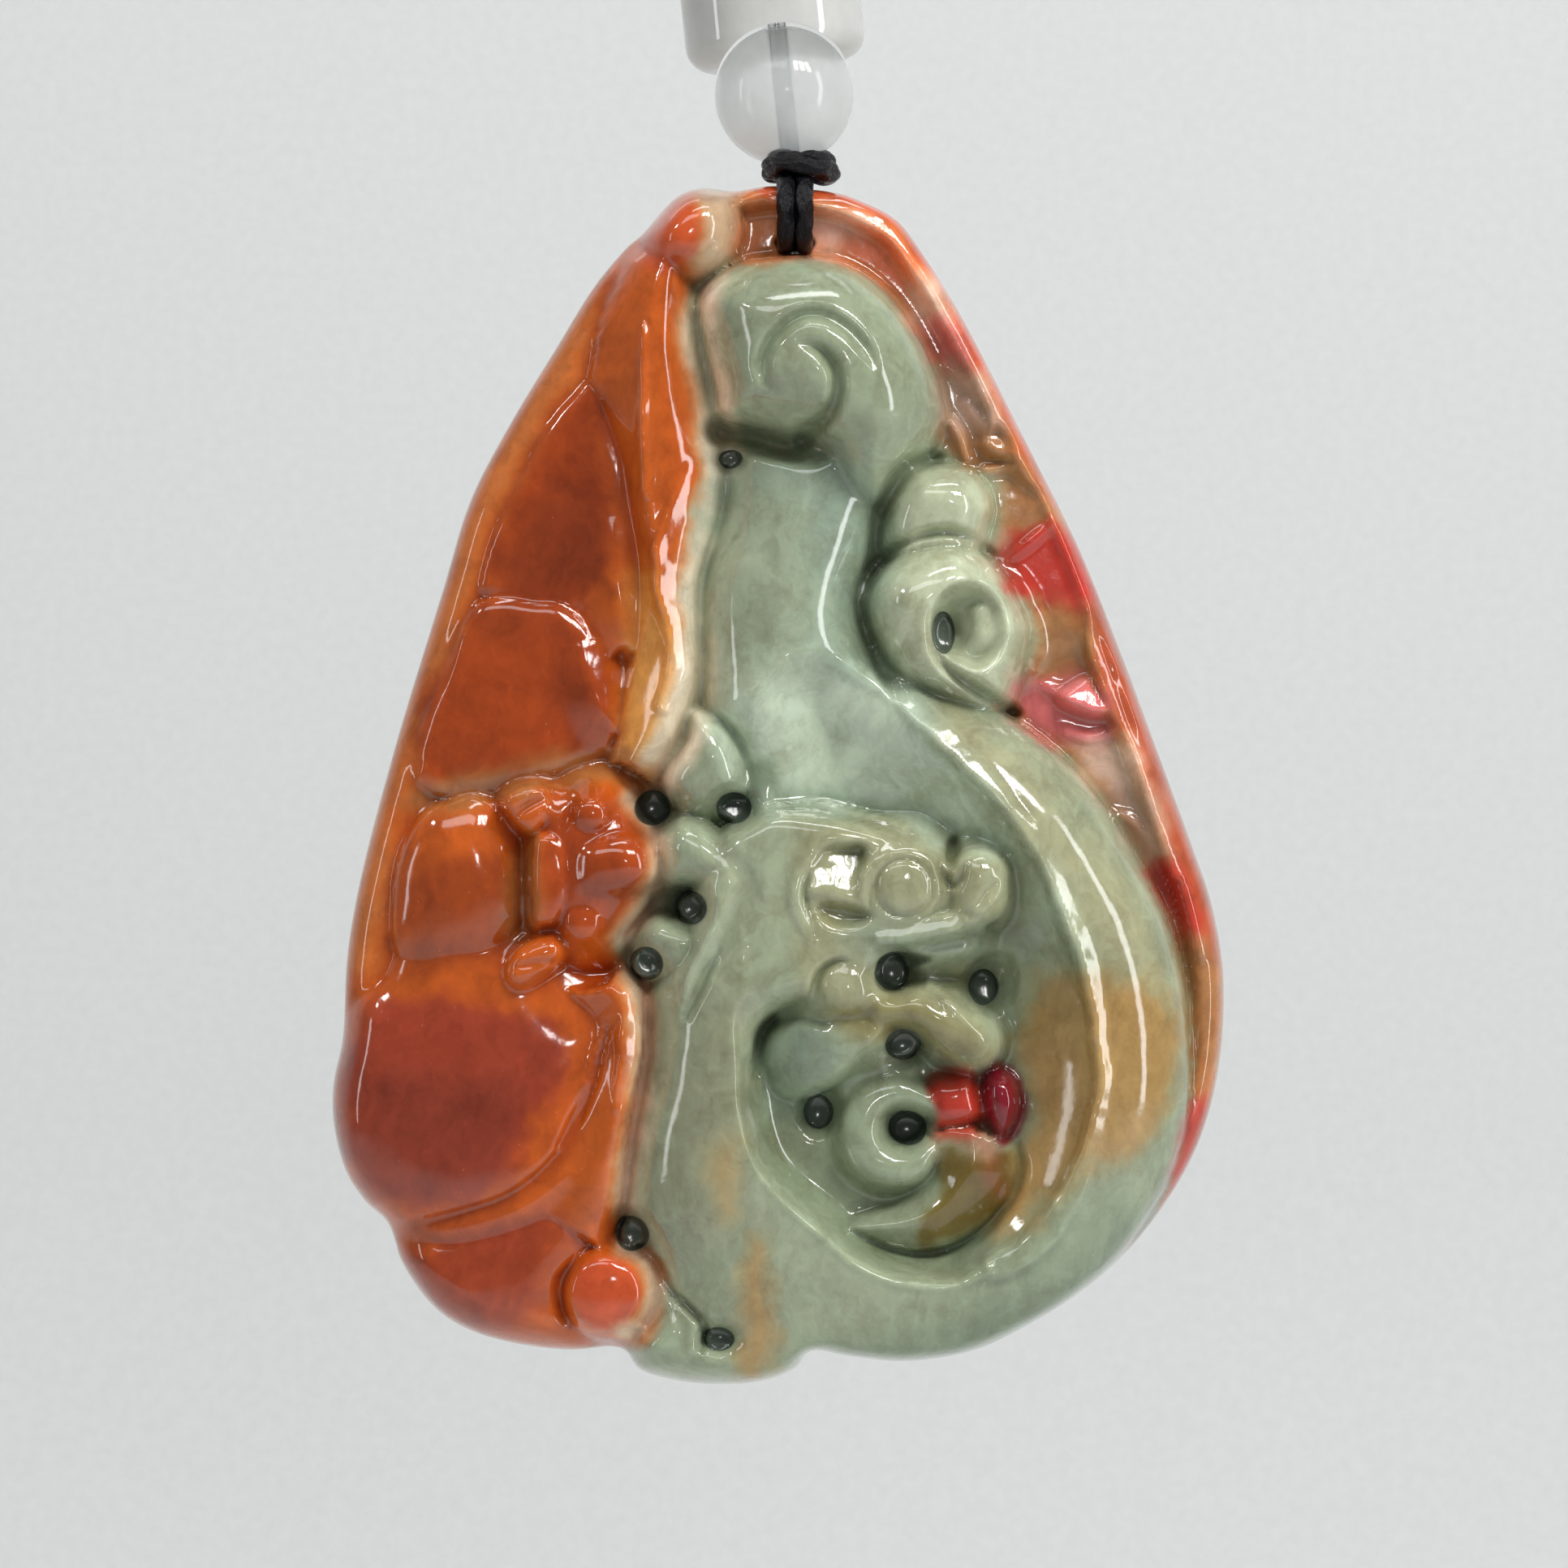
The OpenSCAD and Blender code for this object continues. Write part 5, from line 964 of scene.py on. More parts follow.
    ("area", "curlPale", 1, 0.85, 0.8, [
        (4.6, -9.8), (8.6, -9.6), (8.8, -12.4), (10.2, -16), (9.4, -19.2), (6, -18.8), (3.6, -16),
        (4, -12.6)]),
    ("area", "headOlive", 1, 0.9, 0.8, [
        (0.2, -24.4), (4, -24.4), (8.8, -25.8), (9, -28.8), (7.2, -30.4), (8.8, -33.4), (7.4, -34.8),
        (4.6, -32.8), (1.6, -33), (-0.6, -29.6)]),
    ("area", "columnGrey", 0.7, 0.9, 0.5, [
        (-3.8, -26.4), (-2.2, -25.9), (-1.4, -27), (-1.8, -28.8), (-3.2, -28.6)]),
    ("area", "jawOlive", 0.6, 0.85, 0.4, [
        (1.2, -32.3), (3.6, -31.6), (5.2, -31.6), (6.8, -32.4), (8.2, -33.6), (7.4, -34.6), (5.4, -33.8),
        (3.2, -33.4)]),
    ("area", "jawOlive", 0.4, 0.4, 0.3, [
        (0.9, -27.9), (1.8, -27.6), (3.2, -28), (3.4, -28.6), (2.4, -28.9), (1.3, -28.6)]),
    ("area", "coolGreen", 0.8, 0.6, 0.6, [(2.2, -28.4), (8.2, -28.6), (7.8, -30.2), (3.6, -30.4)]),
    ("area", "paleGreen", 1, 0.7, 0.8, [
        (-5.2, -27), (-1, -24.4), (0.6, -27.6), (-1.8, -31), (-5.6, -30.4)]),
    ("area", "columnGrey", 1.2, 0.8, 1, [
        (-4.8, -32), (-2.4, -31.6), (-2, -37), (-1.4, -41.2), (-5.8, -41)]),
    ("area", "coolGreen", 1, 0.7, 0.7, [(-1.2, -33.2), (1.6, -33.4), (1.2, -36.2), (-0.8, -36)]),
    ("area", "deepGreen", 0.8, 0.12, 0.7, [
        (-1.6, -34.8), (2.8, -35.4), (6.2, -35.2), (5.8, -39.6), (2.6, -40.8), (-1, -38.6)]),
    ("streak", "paleGreen", 1, 0.6, 0.8, [
        (-1.6, -39, 1), (1.4, -43.4, 1.2), (6, -45.4, 1.3), (10.4, -44, 1.2), (14, -40.4, 1)]),
    ("streak", "olive", 1.2, 0.8, 0.8, [
        (7, -20.4, 0.9), (10.4, -23.8, 1.1), (13.2, -28, 1.4), (14.4, -31, 1.4)]),
    ("area", "brownStain", 0.9, 0.85, 0.9, [
        (10.6, -31.4), (12.8, -31), (15.6, -31.6), (16.4, -34), (15.2, -37.6), (13.2, -38.6),
        (11.6, -40), (9.6, -41.4), (8.4, -41.6), (9.4, -39.2), (10, -36), (9.6, -33.6)]),
    ("area", "goldStain", 0.8, 0.6, 0.8, [
        (10.8, -33.6), (12.6, -32.4), (13, -35.6), (11.4, -38.4), (10.4, -37)]),
    ("streak", "goldStain", 0.9, 0.6, 0.9, [(-2.6, -37.6, 0.4), (-3, -39, 0.7), (-3, -40.6, 0.5)]),
    # painted shade: the lower band darkened where the light from above falls away
    ("streak", "deepGreen", 1.8, 0.9, 0.9, [
        (1, -48.6, 1), (5, -47.6, 1.3), (8.6, -46.2, 1.5), (11.6, -44, 1.3), (13.8, -41.8, 0.9)]),
    ("streak", "brownStain", 0.8, 0.75, 0.9, [
        (-1.2, -42.4, 0.4), (-1.5, -44.4, 0.8), (-1.6, -46.8, 0.8), (-2, -48.4, 0.6)]),
    ("area", "scarlet", 0.3, 1, 0.3, [
        (5.9, -35.5), (6.8, -35), (7.8, -35.2), (8.2, -36.2), (8, -37.5), (7, -38), (6, -37.8),
        (6, -36.6)]),
    ("area", "wine", 0.2, 1, 0.2, [
        (8.1, -35.2), (8.8, -34.7), (9.6, -35.1), (9.9, -36.3), (9.6, -37.5), (9, -38.1), (8.4, -37.6),
        (8.1, -36.5)]),
    ("area", "beige", 0.4, 0.3, 0.3, [
        (5.8, -37.6), (8.2, -37.4), (8.8, -38.4), (8, -39.4), (6.6, -39.2)]),
    ("area", "tailTan", 0.4, 0.9, 0.5, [
        (6.4, -38.6), (8, -38.8), (9.3, -38.6), (9.4, -40), (8.6, -41.2), (7.2, -42), (5.6, -42.3),
        (5.4, -41.4), (6.4, -40.4)]),
    ("streak", "scarlet", 0.6, 0.3, 0.4, [(7.4, -37.6, 0.5), (8.4, -38.6, 0.5), (8.8, -40, 0.4)]),
]

mottle = {
    "near": (2.6, 1.1), "fine": (0.7, 0.5),     # size and pull of the clouds that bend the colours' borders
    "reach": 3.5,                               # how far round its points a colour can matter
    "back": (1.7, 1.2),                         # height where the plain back's colours begin, and how soft
    # skin on the back: where it begins, wander, slope, middle of the slope, softness
    "left": (-5.5, 1.6, 0.14, 25, 3.5), "right": (11.0, 1.4, 0.28, 30, 2.2),
    "veins": (0.35, 1.2, 5.5, 7, 1.6),          # strength, wander, size, seed, sharpness
}


def shown(name):
    return np.array([int(stone[name][i:i + 2], 16) / 255 for i in (0, 2, 4)])


def paint(q, h):
    # colour of the stone at points of the drawing, as linear light
    s = mottle
    (nearSize, nearPull), (fineSize, finePull) = s["near"], s["fine"]
    near = np.stack([cloud(q, nearSize, seed) for seed in (1, 2)], 1)
    fine = np.stack([cloud(q, fineSize, seed) for seed in (3, 4)], 1)
    colour = np.tile(shown("green"), (len(q), 1))
    for shape, name, soft, strength, wander, rows in painted:
        m = beside(q, rows, s["reach"])
        moved = q[m] + wander * (near[m] * nearPull + fine[m] * finePull)
        if shape == "area":
            weight = ease(0.5 + signedDistance(moved, curve(rows, True, 3)) / (2 * soft))
        else:
            dist, x, _ = nearest(moved, curve(rows, False, 3))
            weight = ease(0.5 + (x[:, 2] - dist) / (2 * soft))
        weight = (weight * strength)[:, None]
        colour[m] = colour[m] * (1 - weight) + shown(name) * weight
    # the plain back: the same skin and core, softer
    edge, wander, slope, middle, soft = s["left"]
    leftSkin = ease((edge - q[:, 0] + wander * near[:, 0] + slope * (q[:, 1] + middle)) / soft)
    edge, wander, slope, middle, soft = s["right"]
    rightSkin = ease((q[:, 0] - edge - slope * (q[:, 1] + middle) + wander * near[:, 1]) / soft)
    strength, wander, size, seed, sharp = s["veins"]
    veins = strength * ease(cloud(q + wander * fine, size, seed) * sharp)
    core = np.tile(shown("paleGreen"), (len(q), 1))
    for weight, name in ((leftSkin, "plateTan"), (rightSkin, "rimRed"), (veins, "beige")):
        core = core * (1 - weight[:, None]) + shown(name) * weight[:, None]
    behind = ease((s["back"][0] - h) / s["back"][1])[:, None]
    colour = colour * (1 - behind) + core * behind
    return np.where(colour <= 0.04045, colour / 12.92, ((colour + 0.055) / 1.055) ** 2.4)


# The carving's mesh: a flat net with rings at its rim and round each drilled pit, then lifted to its heights

def evenly(rows, spacing):
    # points at even distances along a closed curve, and the inward directions there
    path = curve(rows, True, 12)[:, :2]
    loop = np.vstack([path, path[:1]])
    run = np.concatenate([[0], np.cumsum(np.hypot(*np.diff(loop, axis=0).T))])
    count = int(run[-1] / spacing)
    along = np.arange(count) * run[-1] / count
    points = np.stack([np.interp(along, run, loop[:, c]) for c in (0, 1)], 1)
    tangent = np.roll(points, -3, 0) - np.roll(points, 3, 0)
    inward = np.stack([-tangent[:, 1], tangent[:, 0]], 1) / np.hypot(*tangent.T)[:, None]
    return points, inward if within((points + 0.4 * inward)[:1], points)[0] else -inward


def smoothed(values, passes):
    for _ in range(passes):
        values = 0.5 * values + 0.25 * (np.roll(values, 1, 0) + np.roll(values, -1, 0))
    return values


def ellipse(pit, grow, count=40, share=1.0):
    turn = 2 * np.pi * np.arange(count) / count
    return np.stack([pit[0] + share * (pit[2] + grow) * np.cos(turn),
                     pit[1] + share * (pit[3] + grow) * np.sin(turn)], 1)


class Net:
    # a flat mesh whose points remember how they are lifted later
    def __init__(self):
        self.bm = bmesh.new()
        layers = self.bm.verts.layers
        self.order = layers.int.new("order")
        self.share = layers.float.new("share")   # share of the carved height, 0 keeps its own
        self.drop = layers.float.new("drop")     # depth under the carved face
        self.dark = layers.float.new("dark")     # 1 down in a pit, where shade is painted

    def trimmedGrid(self, low, high, spacing, share, keep):
        # a square net over a box, without the points that keep drops, and its open edges
        half, middle = (high - low) / 2, (high + low) / 2
        made = bmesh.ops.create_grid(self.bm, x_segments=int(2 * half[0] / spacing),
                                     y_segments=int(2 * half[1] / spacing), size=1)["verts"]
        bmesh.ops.scale(self.bm, verts=made, vec=(*half, 1))
        bmesh.ops.translate(self.bm, verts=made, vec=(*middle, 0))
        for vert in made:
            vert[self.share] = share
        kept = keep(np.array([v.co[:2] for v in made]))
        dropped = [v for v, k in zip(made, kept) if not k]
        made = [v for v, k in zip(made, kept) if k]
        while dropped:
            # points where two faces only touch at a corner go too
            bmesh.ops.delete(self.bm, geom=dropped, context="VERTS")
            loose = {e for v in made if v.is_valid for e in v.link_edges if not e.link_faces}
            bmesh.ops.delete(self.bm, geom=list(loose), context="EDGES")
            made = [v for v in made if v.is_valid]
            dropped = [v for v in made if not v.link_faces or sum(e.is_boundary for e in v.link_edges) > 2]
        return self.loops({e for v in made if v.is_valid for e in v.link_edges if e.is_boundary})

    def loops(self, edges):
        # open edges, sorted into the loops that they make
        found = []
        while edges:
            group, ends = [], [edges.pop()]
            while ends:
                edge = ends.pop()
                group.append(edge)
                beside = {e for v in edge.verts for e in v.link_edges} & edges
                edges -= beside
                ends.extend(beside)
            found.append(group)
        return found

    def place(self, verts, points, height, share, drop, dark):
        for vert, point, low in zip(verts, points, np.broadcast_to(drop, len(verts))):
            vert.co = (point[0], point[1], height)
            vert[self.share], vert[self.drop], vert[self.dark] = share, low, dark
        return verts

    def ring(self, points, height=0.0, share=1.0, drop=0.0, dark=0.0):
        # a loop of points
        made = bmesh.ops.create_circle(self.bm, segments=len(points), radius=1)["verts"]
        made.sort(key=lambda v: math.atan2(v.co.y, v.co.x))
        for i, vert in enumerate(made):
            vert[self.order] = i
        return self.place(made, points, height, share, drop, dark)

    def edges(self, ring):
        return [self.bm.edges.get(pair) for pair in zip(ring, ring[1:] + ring[:1])]

    def next(self, ring, points, height=0.0, share=1.0, drop=0.0, dark=0.0):
        # the ring's neighbour, joined to it by faces
        out = bmesh.ops.extrude_edge_only(self.bm, edges=self.edges(ring))["geom"]
        made = sorted((g for g in out if isinstance(g, bmesh.types.BMVert)), key=lambda v: v[self.order])
        return self.place(made, points, height, share, drop, dark)

    def fill(self, edges):
        bmesh.ops.triangle_fill(self.bm, use_beauty=True, edges=list(edges), normal=(0, 0, 1))

    def fillRound(self, loops, ring, pit):
        # closes the net to a pit's ring where a loop runs close round it, and says whether it could
        for loop in loops:
            places = np.array([v.co[:2] for e in loop for v in e.verts])
            low, high = places.min(0), places.max(0)
            if np.all(low < pit[:2]) and np.all(high > pit[:2]) and np.all(high - low < 6):
                self.fill(self.edges(ring) + loop)
                loops.remove(loop)
                return True
        return False

    def fillRim(self, loops, ring, others):
        # closes the net to the rim, with any pit whose loop ran into the rim's
        self.fill([e for r in [ring, *others] for e in self.edges(r)] + [e for loop in loops for e in loop])


def clearOf(q, ring, pits, spacing):
    # which points of a net lie clear of a ring and of the pits
    room, lip = carving["clearance"] * spacing, carving["lip"]
    kept = signedDistance(q, ring[::3]) > room
    for pit in pits:
        across = np.hypot((q[:, 0] - pit[0]) / (pit[2] + lip), (q[:, 1] - pit[1]) / (pit[3] + lip))
        kept &= (across - 1) * min(pit[2:4]) > room
    return kept


def edgeWidths(points, inward):
    # how far in from the outline the edge is rounded
    s = carving
    first, least, growth, most = s["edgeWidth"]
    width = np.full(len(points), first)
    for _ in range(2):
        raw = carve(points + inward * width[:, None])
        width = smoothed(np.minimum(least + growth * (raw - s["edgeHeight"]), most), s["edgeRounds"][0])
    crest = rimCrest(points) - s["edgeRoom"][0]
    width = np.where(points[:, 0] > s["leftSide"][0], np.minimum(width, crest), width)
    across, up, radius, _ = s["hole"]
    room = np.hypot(points[:, 0] - across, points[:, 1] - up) - radius - s["edgeRoom"][1]
    return smoothed(np.minimum(width, room), s["edgeRounds"][1])


def carvingNet():
    s = carving
    net = Net()
    outer, inward = evenly(outlineRows, s["rimSpacing"])
    width = edgeWidths(outer, inward)
    inner = [smoothed(outer + inward * (w + s["ringGap"]), 6) for w in (width[:, None], s["backRound"])]
    hole = s["hole"]
    pits = [*pitRows, hole]
    front, back = (net.trimmedGrid(outer.min(0), outer.max(0), spacing, share,
                                   lambda q: clearOf(q, ring, near, spacing))
                   for spacing, share, ring, near in ((s["spacing"], 1.0, inner[0], pits),
                                                      (s["backSpacing"], 0.0, inner[1], [hole])))

    def quarter(rings):
        # sine, one minus cosine and rounds of smoothing on the way round an edge
        turns = np.radians(np.linspace(0, 90, rings + 1)[1:])
        return [(math.sin(t), 1 - math.cos(t), round(6 * t)) for t in turns]

    # the rim, rounded to the front and to the back of its widest line
    widest = net.ring(outer, height=s["edgeHeight"], share=0.0)
    ring = widest
    for rise, inset, passes in quarter(s["frontRings"]):
        ring = net.next(ring, smoothed(outer + inward * (width * inset)[:, None], passes), share=rise)
    rimRing = net.next(ring, inner[0])
    pitRings = [net.ring(ellipse(pit, s["lip"])) for pit in pits]
    net.fillRim(front, rimRing, [r for r, pit in zip(pitRings, pits) if not net.fillRound(front, r, pit)])
    ring = widest
    for rise, inset, passes in quarter(s["backRings"]):
        ring = net.next(ring, smoothed(outer + inward * (s["backRound"] * inset), passes),
                        height=s["edgeHeight"] * (1 - rise), share=0.0)
    backRing = net.next(ring, inner[1], share=0.0)

    # drilled pits with worn lips, and the cord's hole right through
    for pit, ring in zip(pits, pitRings):
        for grow, drop, dark in s["pitLips"]:
            ring = net.next(ring, ellipse(pit, grow), drop=drop, dark=0.0 if pit is hole else dark)
        if pit is hole:
            for grow, height in s["holeBack"]:
                ring = net.next(ring, ellipse(pit, grow), height=height, share=0.0)
            net.fillRim(back, backRing, [] if net.fillRound(back, ring, pit) else [ring])
            continue
        wall = s["pitLips"][-1][1]
        for turn in np.radians(s["bowlTurns"]):
            points = ellipse(pit, 0.0, share=math.cos(turn))
            tilt = (points - pit[:2]) @ np.array(s["toWindow"]) * pit[4] * math.sin(turn)
            ring = net.next(ring, points, drop=wall + s["pitBowl"] * pit[2] * math.sin(turn) + tilt, dark=1.0)
        bmesh.ops.remove_doubles(net.bm, verts=ring, dist=1e-4)
    return net


def hollows(bm, height, rounds):
    # how deep each point lies under the mean of its surroundings, negative on ridges
    bm.verts.index_update()
    a, b = np.array([(e.verts[0].index, e.verts[1].index) for e in bm.edges]).T
    links = np.bincount(a, minlength=len(height)) + np.bincount(b, minlength=len(height))
    mean = height.copy()
    for _ in range(rounds):
        total = np.bincount(a, mean[b], len(height)) + np.bincount(b, mean[a], len(height))
        mean = 0.5 * mean + 0.5 * total / links
    return mean - height


def levelBowls(q, raw):
    # a pit's bowl lies level, whatever the slope that it is drilled in
    seats = np.array(pitRows)
    for seat, level in zip(seats, carve(seats[:, :2])):
        away = np.hypot(*((q - seat[:2]) / seat[2:4]).T)
        raw = raw + (level - raw) * ease((1 - away) / carving["seatSoft"])
    return raw


def shaded(bm, q, height, front, dark):
    # the painted colours, with painted shade in the hollows, paler on ridges, and painted shade nearly black
    # in the pits
    s = carving
    # painted shade: colours darken where a point lies below the mean of its surroundings
    deep = hollows(bm, height, s["hollowRounds"]) / s["hollowDepth"]
    shadow, crest = ((np.clip(d, 0, 1) * front)[:, None] for d in (deep, -deep))
    warm = ease((s["warmSide"][0] - q[:, 0]) / s["warmSide"][1])[:, None]
    tint = np.array(s["hollowShade"]) * (1 - warm) + np.array(s["warmShade"]) * warm
    colours = paint(q, height) * (1 - shadow * tint) * (1 + crest * np.array(s["crestTint"]))
    # painted shade: the pits' insides turned nearly to pitDark
    paintedPitShade = (dark * s["paintedPitShade"])[:, None]
    return colours * (1 - paintedPitShade) + np.array(linear(stone["pitDark"])) * paintedPitShade


def makeCarving():
    s = carving
    net = carvingNet()
    bm = net.bm
    print("carving's net:", len(bm.verts), "points,", sum(e.is_boundary for e in bm.edges), "open edges")
    verts = list(bm.verts)
    q = np.array([v.co[:2] for v in verts])
    share, drop, dark = (np.array([v[layer] for v in verts]) for layer in (net.share, net.drop, net.dark))
    height = np.array([v.co.z for v in verts])
    lifted = share > 0
    raw = levelBowls(q[lifted], carve(q[lifted]))
    height[lifted] = s["edgeHeight"] + (raw - s["edgeHeight"]) * share[lifted] - drop[lifted]
    for vert, h in zip(verts, height):
        vert.co.z = h
    worn = [v for v, a, b in zip(verts, share, drop) if a > 0.99 and b == 0]
    for _ in range(s["polish"]):
        bmesh.ops.smooth_vert(bm, verts=worn, factor=0.5, use_axis_z=True)
    colours = shaded(bm, q, np.array([v.co.z for v in verts]), share * (1 - dark), dark)
    bmesh.ops.rotate(bm, verts=verts, cent=(0, 0, 0), matrix=Matrix.Rotation(math.pi / 2, 3, "X"))
    bmesh.ops.translate(bm, verts=verts, vec=s["origin"])
    toMetres(bm)
    bm.verts.layers.int.remove(net.order)
    for name in ("share", "drop", "dark"):
        bm.verts.layers.float.remove(bm.verts.layers.float[name])
    piece = finishPiece("jadeStone", bm, [jadeMaterial()], "pendant", "jade_carving")
    attribute = piece.data.color_attributes.new("stone", "FLOAT_COLOR", "POINT")
    attribute.data.foreach_set("color", np.hstack([colours, (1 - dark)[:, None]]).astype(np.float32).ravel())


def jadeMaterial():
    # polished stone: the painted colours under clouds, threads and grains, glossy and slightly see-through
    material, place = newMaterial("polishedJade")
    painted = place.node("Attribute", {"attribute_name": "stone"}, output=0)
    drift = place.noise(260.0, 4.0, 0.6, output=1)
    moved = place.node("VectorMath", {"operation": "MULTIPLY_ADD"}, {0: drift, 1: (0.004,) * 3, 2: place})
    clouds = moved.noise(480.0, 6.0, 0.66)
    fibres = moved.stretched((1.0, 1.0, 0.35), (0, 0.5, 0)).noise(1500.0, 3.0, 0.55)
    grains = place.node("TexVoronoi", {}, {"Vector": moved, "Scale": 2300.0}, output=0)
    darker = clouds.ramp((0.28, (0.72, 0.68, 0.62)), (0.5, (1, 1, 1)), (0.74, (1.2, 1.2, 1.18)))
    colour = painted.mixed(darker, 1.0, "MULTIPLY")
    threads = fibres.ramp((0.36, (0.86, 0.84, 0.82)), (0.6, (1.05, 1.05, 1.05)))
    colour = colour.mixed(threads, 0.7, "MULTIPLY")
    speckle = grains.fade(0.10, 0.02) * clouds.fade(0.5, 0.62)
    colour = colour.mixed(speckle.ramp((0.0, (0, 0, 0)), (1.0, (0.62, 0.62, 0.55))), 0.35, "SCREEN")
    waves = place.noise(330.0, 2.0, 0.4)
    skin = place.noise(1700.0)
    normal = place.node("Bump", {}, {"Strength": 0.35, "Distance": 0.00022, "Height": waves + skin * 0.10})
    outsideThePits = place.node("Attribute", {"attribute_name": "stone"}, output=3)
    rough = 0.12 - outsideThePits * 0.06 + clouds * 0.07
    colour.close(Base_Color=colour, Roughness=rough, Normal=normal, IOR=1.6, Subsurface_Weight=0.12,
                 Subsurface_Radius=(1.0, 0.62, 0.4), Subsurface_Scale=0.0008, Coat_Weight=0.2,
                 Coat_Roughness=0.04, Coat_IOR=1.5)
    return material


makeCarving()
print("carving made")


# Beads, cord and thread hang on one line that leans from the hanging point

line = {"lean": math.radians(6.0), "barrelTop": 8.2, "barrelLength": 8.35, "beadCentre": 17.87,
        "knotShift": 0.15}


def onLine(down, across=0.0, depth=0.0):
    # a point beside the leaning line, in millimetres
    sine, cosine = math.sin(line["lean"]), math.cos(line["lean"])
    return Vector((down * sine + across * cosine, depth, -down * cosine + across * sine))


def leaned(bm, down, shift=0.0):
    # a shape made round the upright axis, put on the line and turned to metres
    verts = list(bm.verts)
    bmesh.ops.rotate(bm, verts=verts, cent=(0, 0, 0), matrix=Matrix.Rotation(-line["lean"], 3, "Y"))
    bmesh.ops.translate(bm, verts=verts, vec=onLine(down) + Vector((shift, 0, 0)))
    bmesh.ops.scale(bm, verts=verts, vec=(mm, mm, mm))


def spun(rows, steps):
    # a closed profile turned round the upright axis. Rows: radius, height
    bm = bmesh.new()
    points = [bm.verts.new((r, 0, z)) for r, z in rows]
    edges = [bm.edges.new(pair) for pair in zip(points, points[1:] + points[:1])]
    bmesh.ops.spin(bm, geom=points + edges, cent=(0, 0, 0), axis=(0, 0, 1), angle=2 * math.pi, steps=steps,
                   use_merge=True)
    bmesh.ops.recalc_face_normals(bm, faces=list(bm.faces))
    return bm


def arc(centre, radius, start, end, count):
    # part of a circle as profile rows, angles in degrees
    return [(centre[0] + radius * math.cos(t), centre[1] + radius * math.sin(t))
            for t in np.radians(np.linspace(start, end, count))]


roundBead = {"radius": 3.0, "bore": 0.45, "lip": 0.10, "steps": 96, "rows": 56, "boreRows": 24, "alpha": 0.42}


def makeRoundBead():
    s = roundBead
    edge = math.degrees(math.acos((s["bore"] + s["lip"]) / s["radius"]))
    height = s["radius"] * math.sin(math.radians(edge))
    bore = [(s["bore"], z) for z in np.linspace(height - s["lip"], s["lip"] - height, s["boreRows"])]
    bm = spun(arc((0, 0), s["radius"], -edge, edge, s["rows"]) + bore, s["steps"])
    for face in bm.faces:
        middle = face.calc_center_median()
        face.material_index = int(math.hypot(middle.x, middle.y) < s["bore"] + 0.5 * s["lip"])
    leaned(bm, line["beadCentre"])
    skins = [milkMaterial("milkyBeadSkin", s["alpha"]), boreMaterial()]
    finishPiece("milkyBead", bm, skins, "hanger", "round_bead")


barrel = {"radius": 3.9, "bore": 0.6, "corner": 1.1, "lip": 0.08, "steps": 112, "shift": -0.14,
          "cornerRows": 10, "wallRows": 22, "endRows": 12, "boreRows": 30,
          "saddle": 3.07, "saddleTilt": math.radians(6.2), "saddleSteps": 160, "saddleDepth": 24,
          "crease": math.radians(32)}


def makeBarrel():
    s = barrel
    half, corner, inner = line["barrelLength"] / 2, s["corner"], s["radius"] - s["corner"]
    lower = arc((inner, corner - half), corner, -90, 0, s["cornerRows"])
    upper = arc((inner, half - corner), corner, 0, 90, s["cornerRows"])
    wall = [(s["radius"], z) for z in np.linspace(corner - half, half - corner, s["wallRows"])[1:-1]]
    top = [(r, half) for r in np.linspace(inner, s["bore"] + s["lip"], s["endRows"])[1:]]
    bore = [(s["bore"], z) for z in np.linspace(half - s["lip"], s["lip"] - half, s["boreRows"])]
    bottom = [(r, -half) for r in np.linspace(s["bore"] + s["lip"], inner, s["endRows"])[:-1]]
    bm = spun(lower + wall + upper + top + bore + bottom, s["steps"])
    leaned(bm, line["barrelTop"] + half, s["shift"])
    cutter = bmesh.new()
    bmesh.ops.create_cone(cutter, cap_ends=True, segments=s["saddleSteps"], radius1=s["saddle"],
                          radius2=s["saddle"], depth=s["saddleDepth"])
    bmesh.ops.rotate(cutter, verts=list(cutter.verts), cent=(0, 0, 0),
                     matrix=Matrix.Rotation(math.pi / 2 + s["saddleTilt"], 3, "X"))
    leaned(cutter, line["beadCentre"])
    bm = cutAway(bm, cutter)
    for face in bm.faces:
        face.smooth = True
    for edge in bm.edges:
        edge.smooth = not edge.is_manifold or edge.calc_face_angle() < s["crease"]
    skin = milkMaterial("barrelSkin", 1.0, "c8c8c4", "d6d6d3")
    finishPiece("barrelBead", bm, [skin], "hanger", "barrel_bead", smooth=False)


def cutAway(bm, cutter):
    # the shape without the cutter's space
    kept, knife = (linked(name, meshFrom(name, part)) for name, part in (("kept", bm), ("cutter", cutter)))
    cut = kept.modifiers.new("cut", "BOOLEAN")
    cut.operation, cut.solver, cut.object = "DIFFERENCE", "EXACT", knife
    bpy.context.view_layer.update()
    result = bmesh.new()
    result.from_mesh(kept.evaluated_get(bpy.context.evaluated_depsgraph_get()).to_mesh())
    for item in (kept, knife):
        bpy.data.objects.remove(item)
    return result


def milkMaterial(name, alpha, dim="dfe2e1", pale="eef0ef"):
    # cloudy stone: pale, waxy, with faint drifts inside
    material, place = newMaterial(name)
    drift = place.noise(330.0, 3.0)
    specks = place.noise(2600.0)
    tone = (drift * 0.85 + specks * 0.15).ramp((0.34, linear(dim)), (0.66, linear(pale)))
    normal = place.node("Bump", {}, {"Strength": 0.15, "Distance": 0.00006, "Height": drift})
    tone.close(Base_Color=tone, Roughness=0.02 + specks * 0.03, Normal=normal, IOR=1.54, Alpha=alpha,
               Subsurface_Weight=0.5, Subsurface_Radius=(1.0, 0.95, 0.9), Subsurface_Scale=0.0018,
               Coat_Weight=0.3, Coat_Roughness=0.03)
    return material


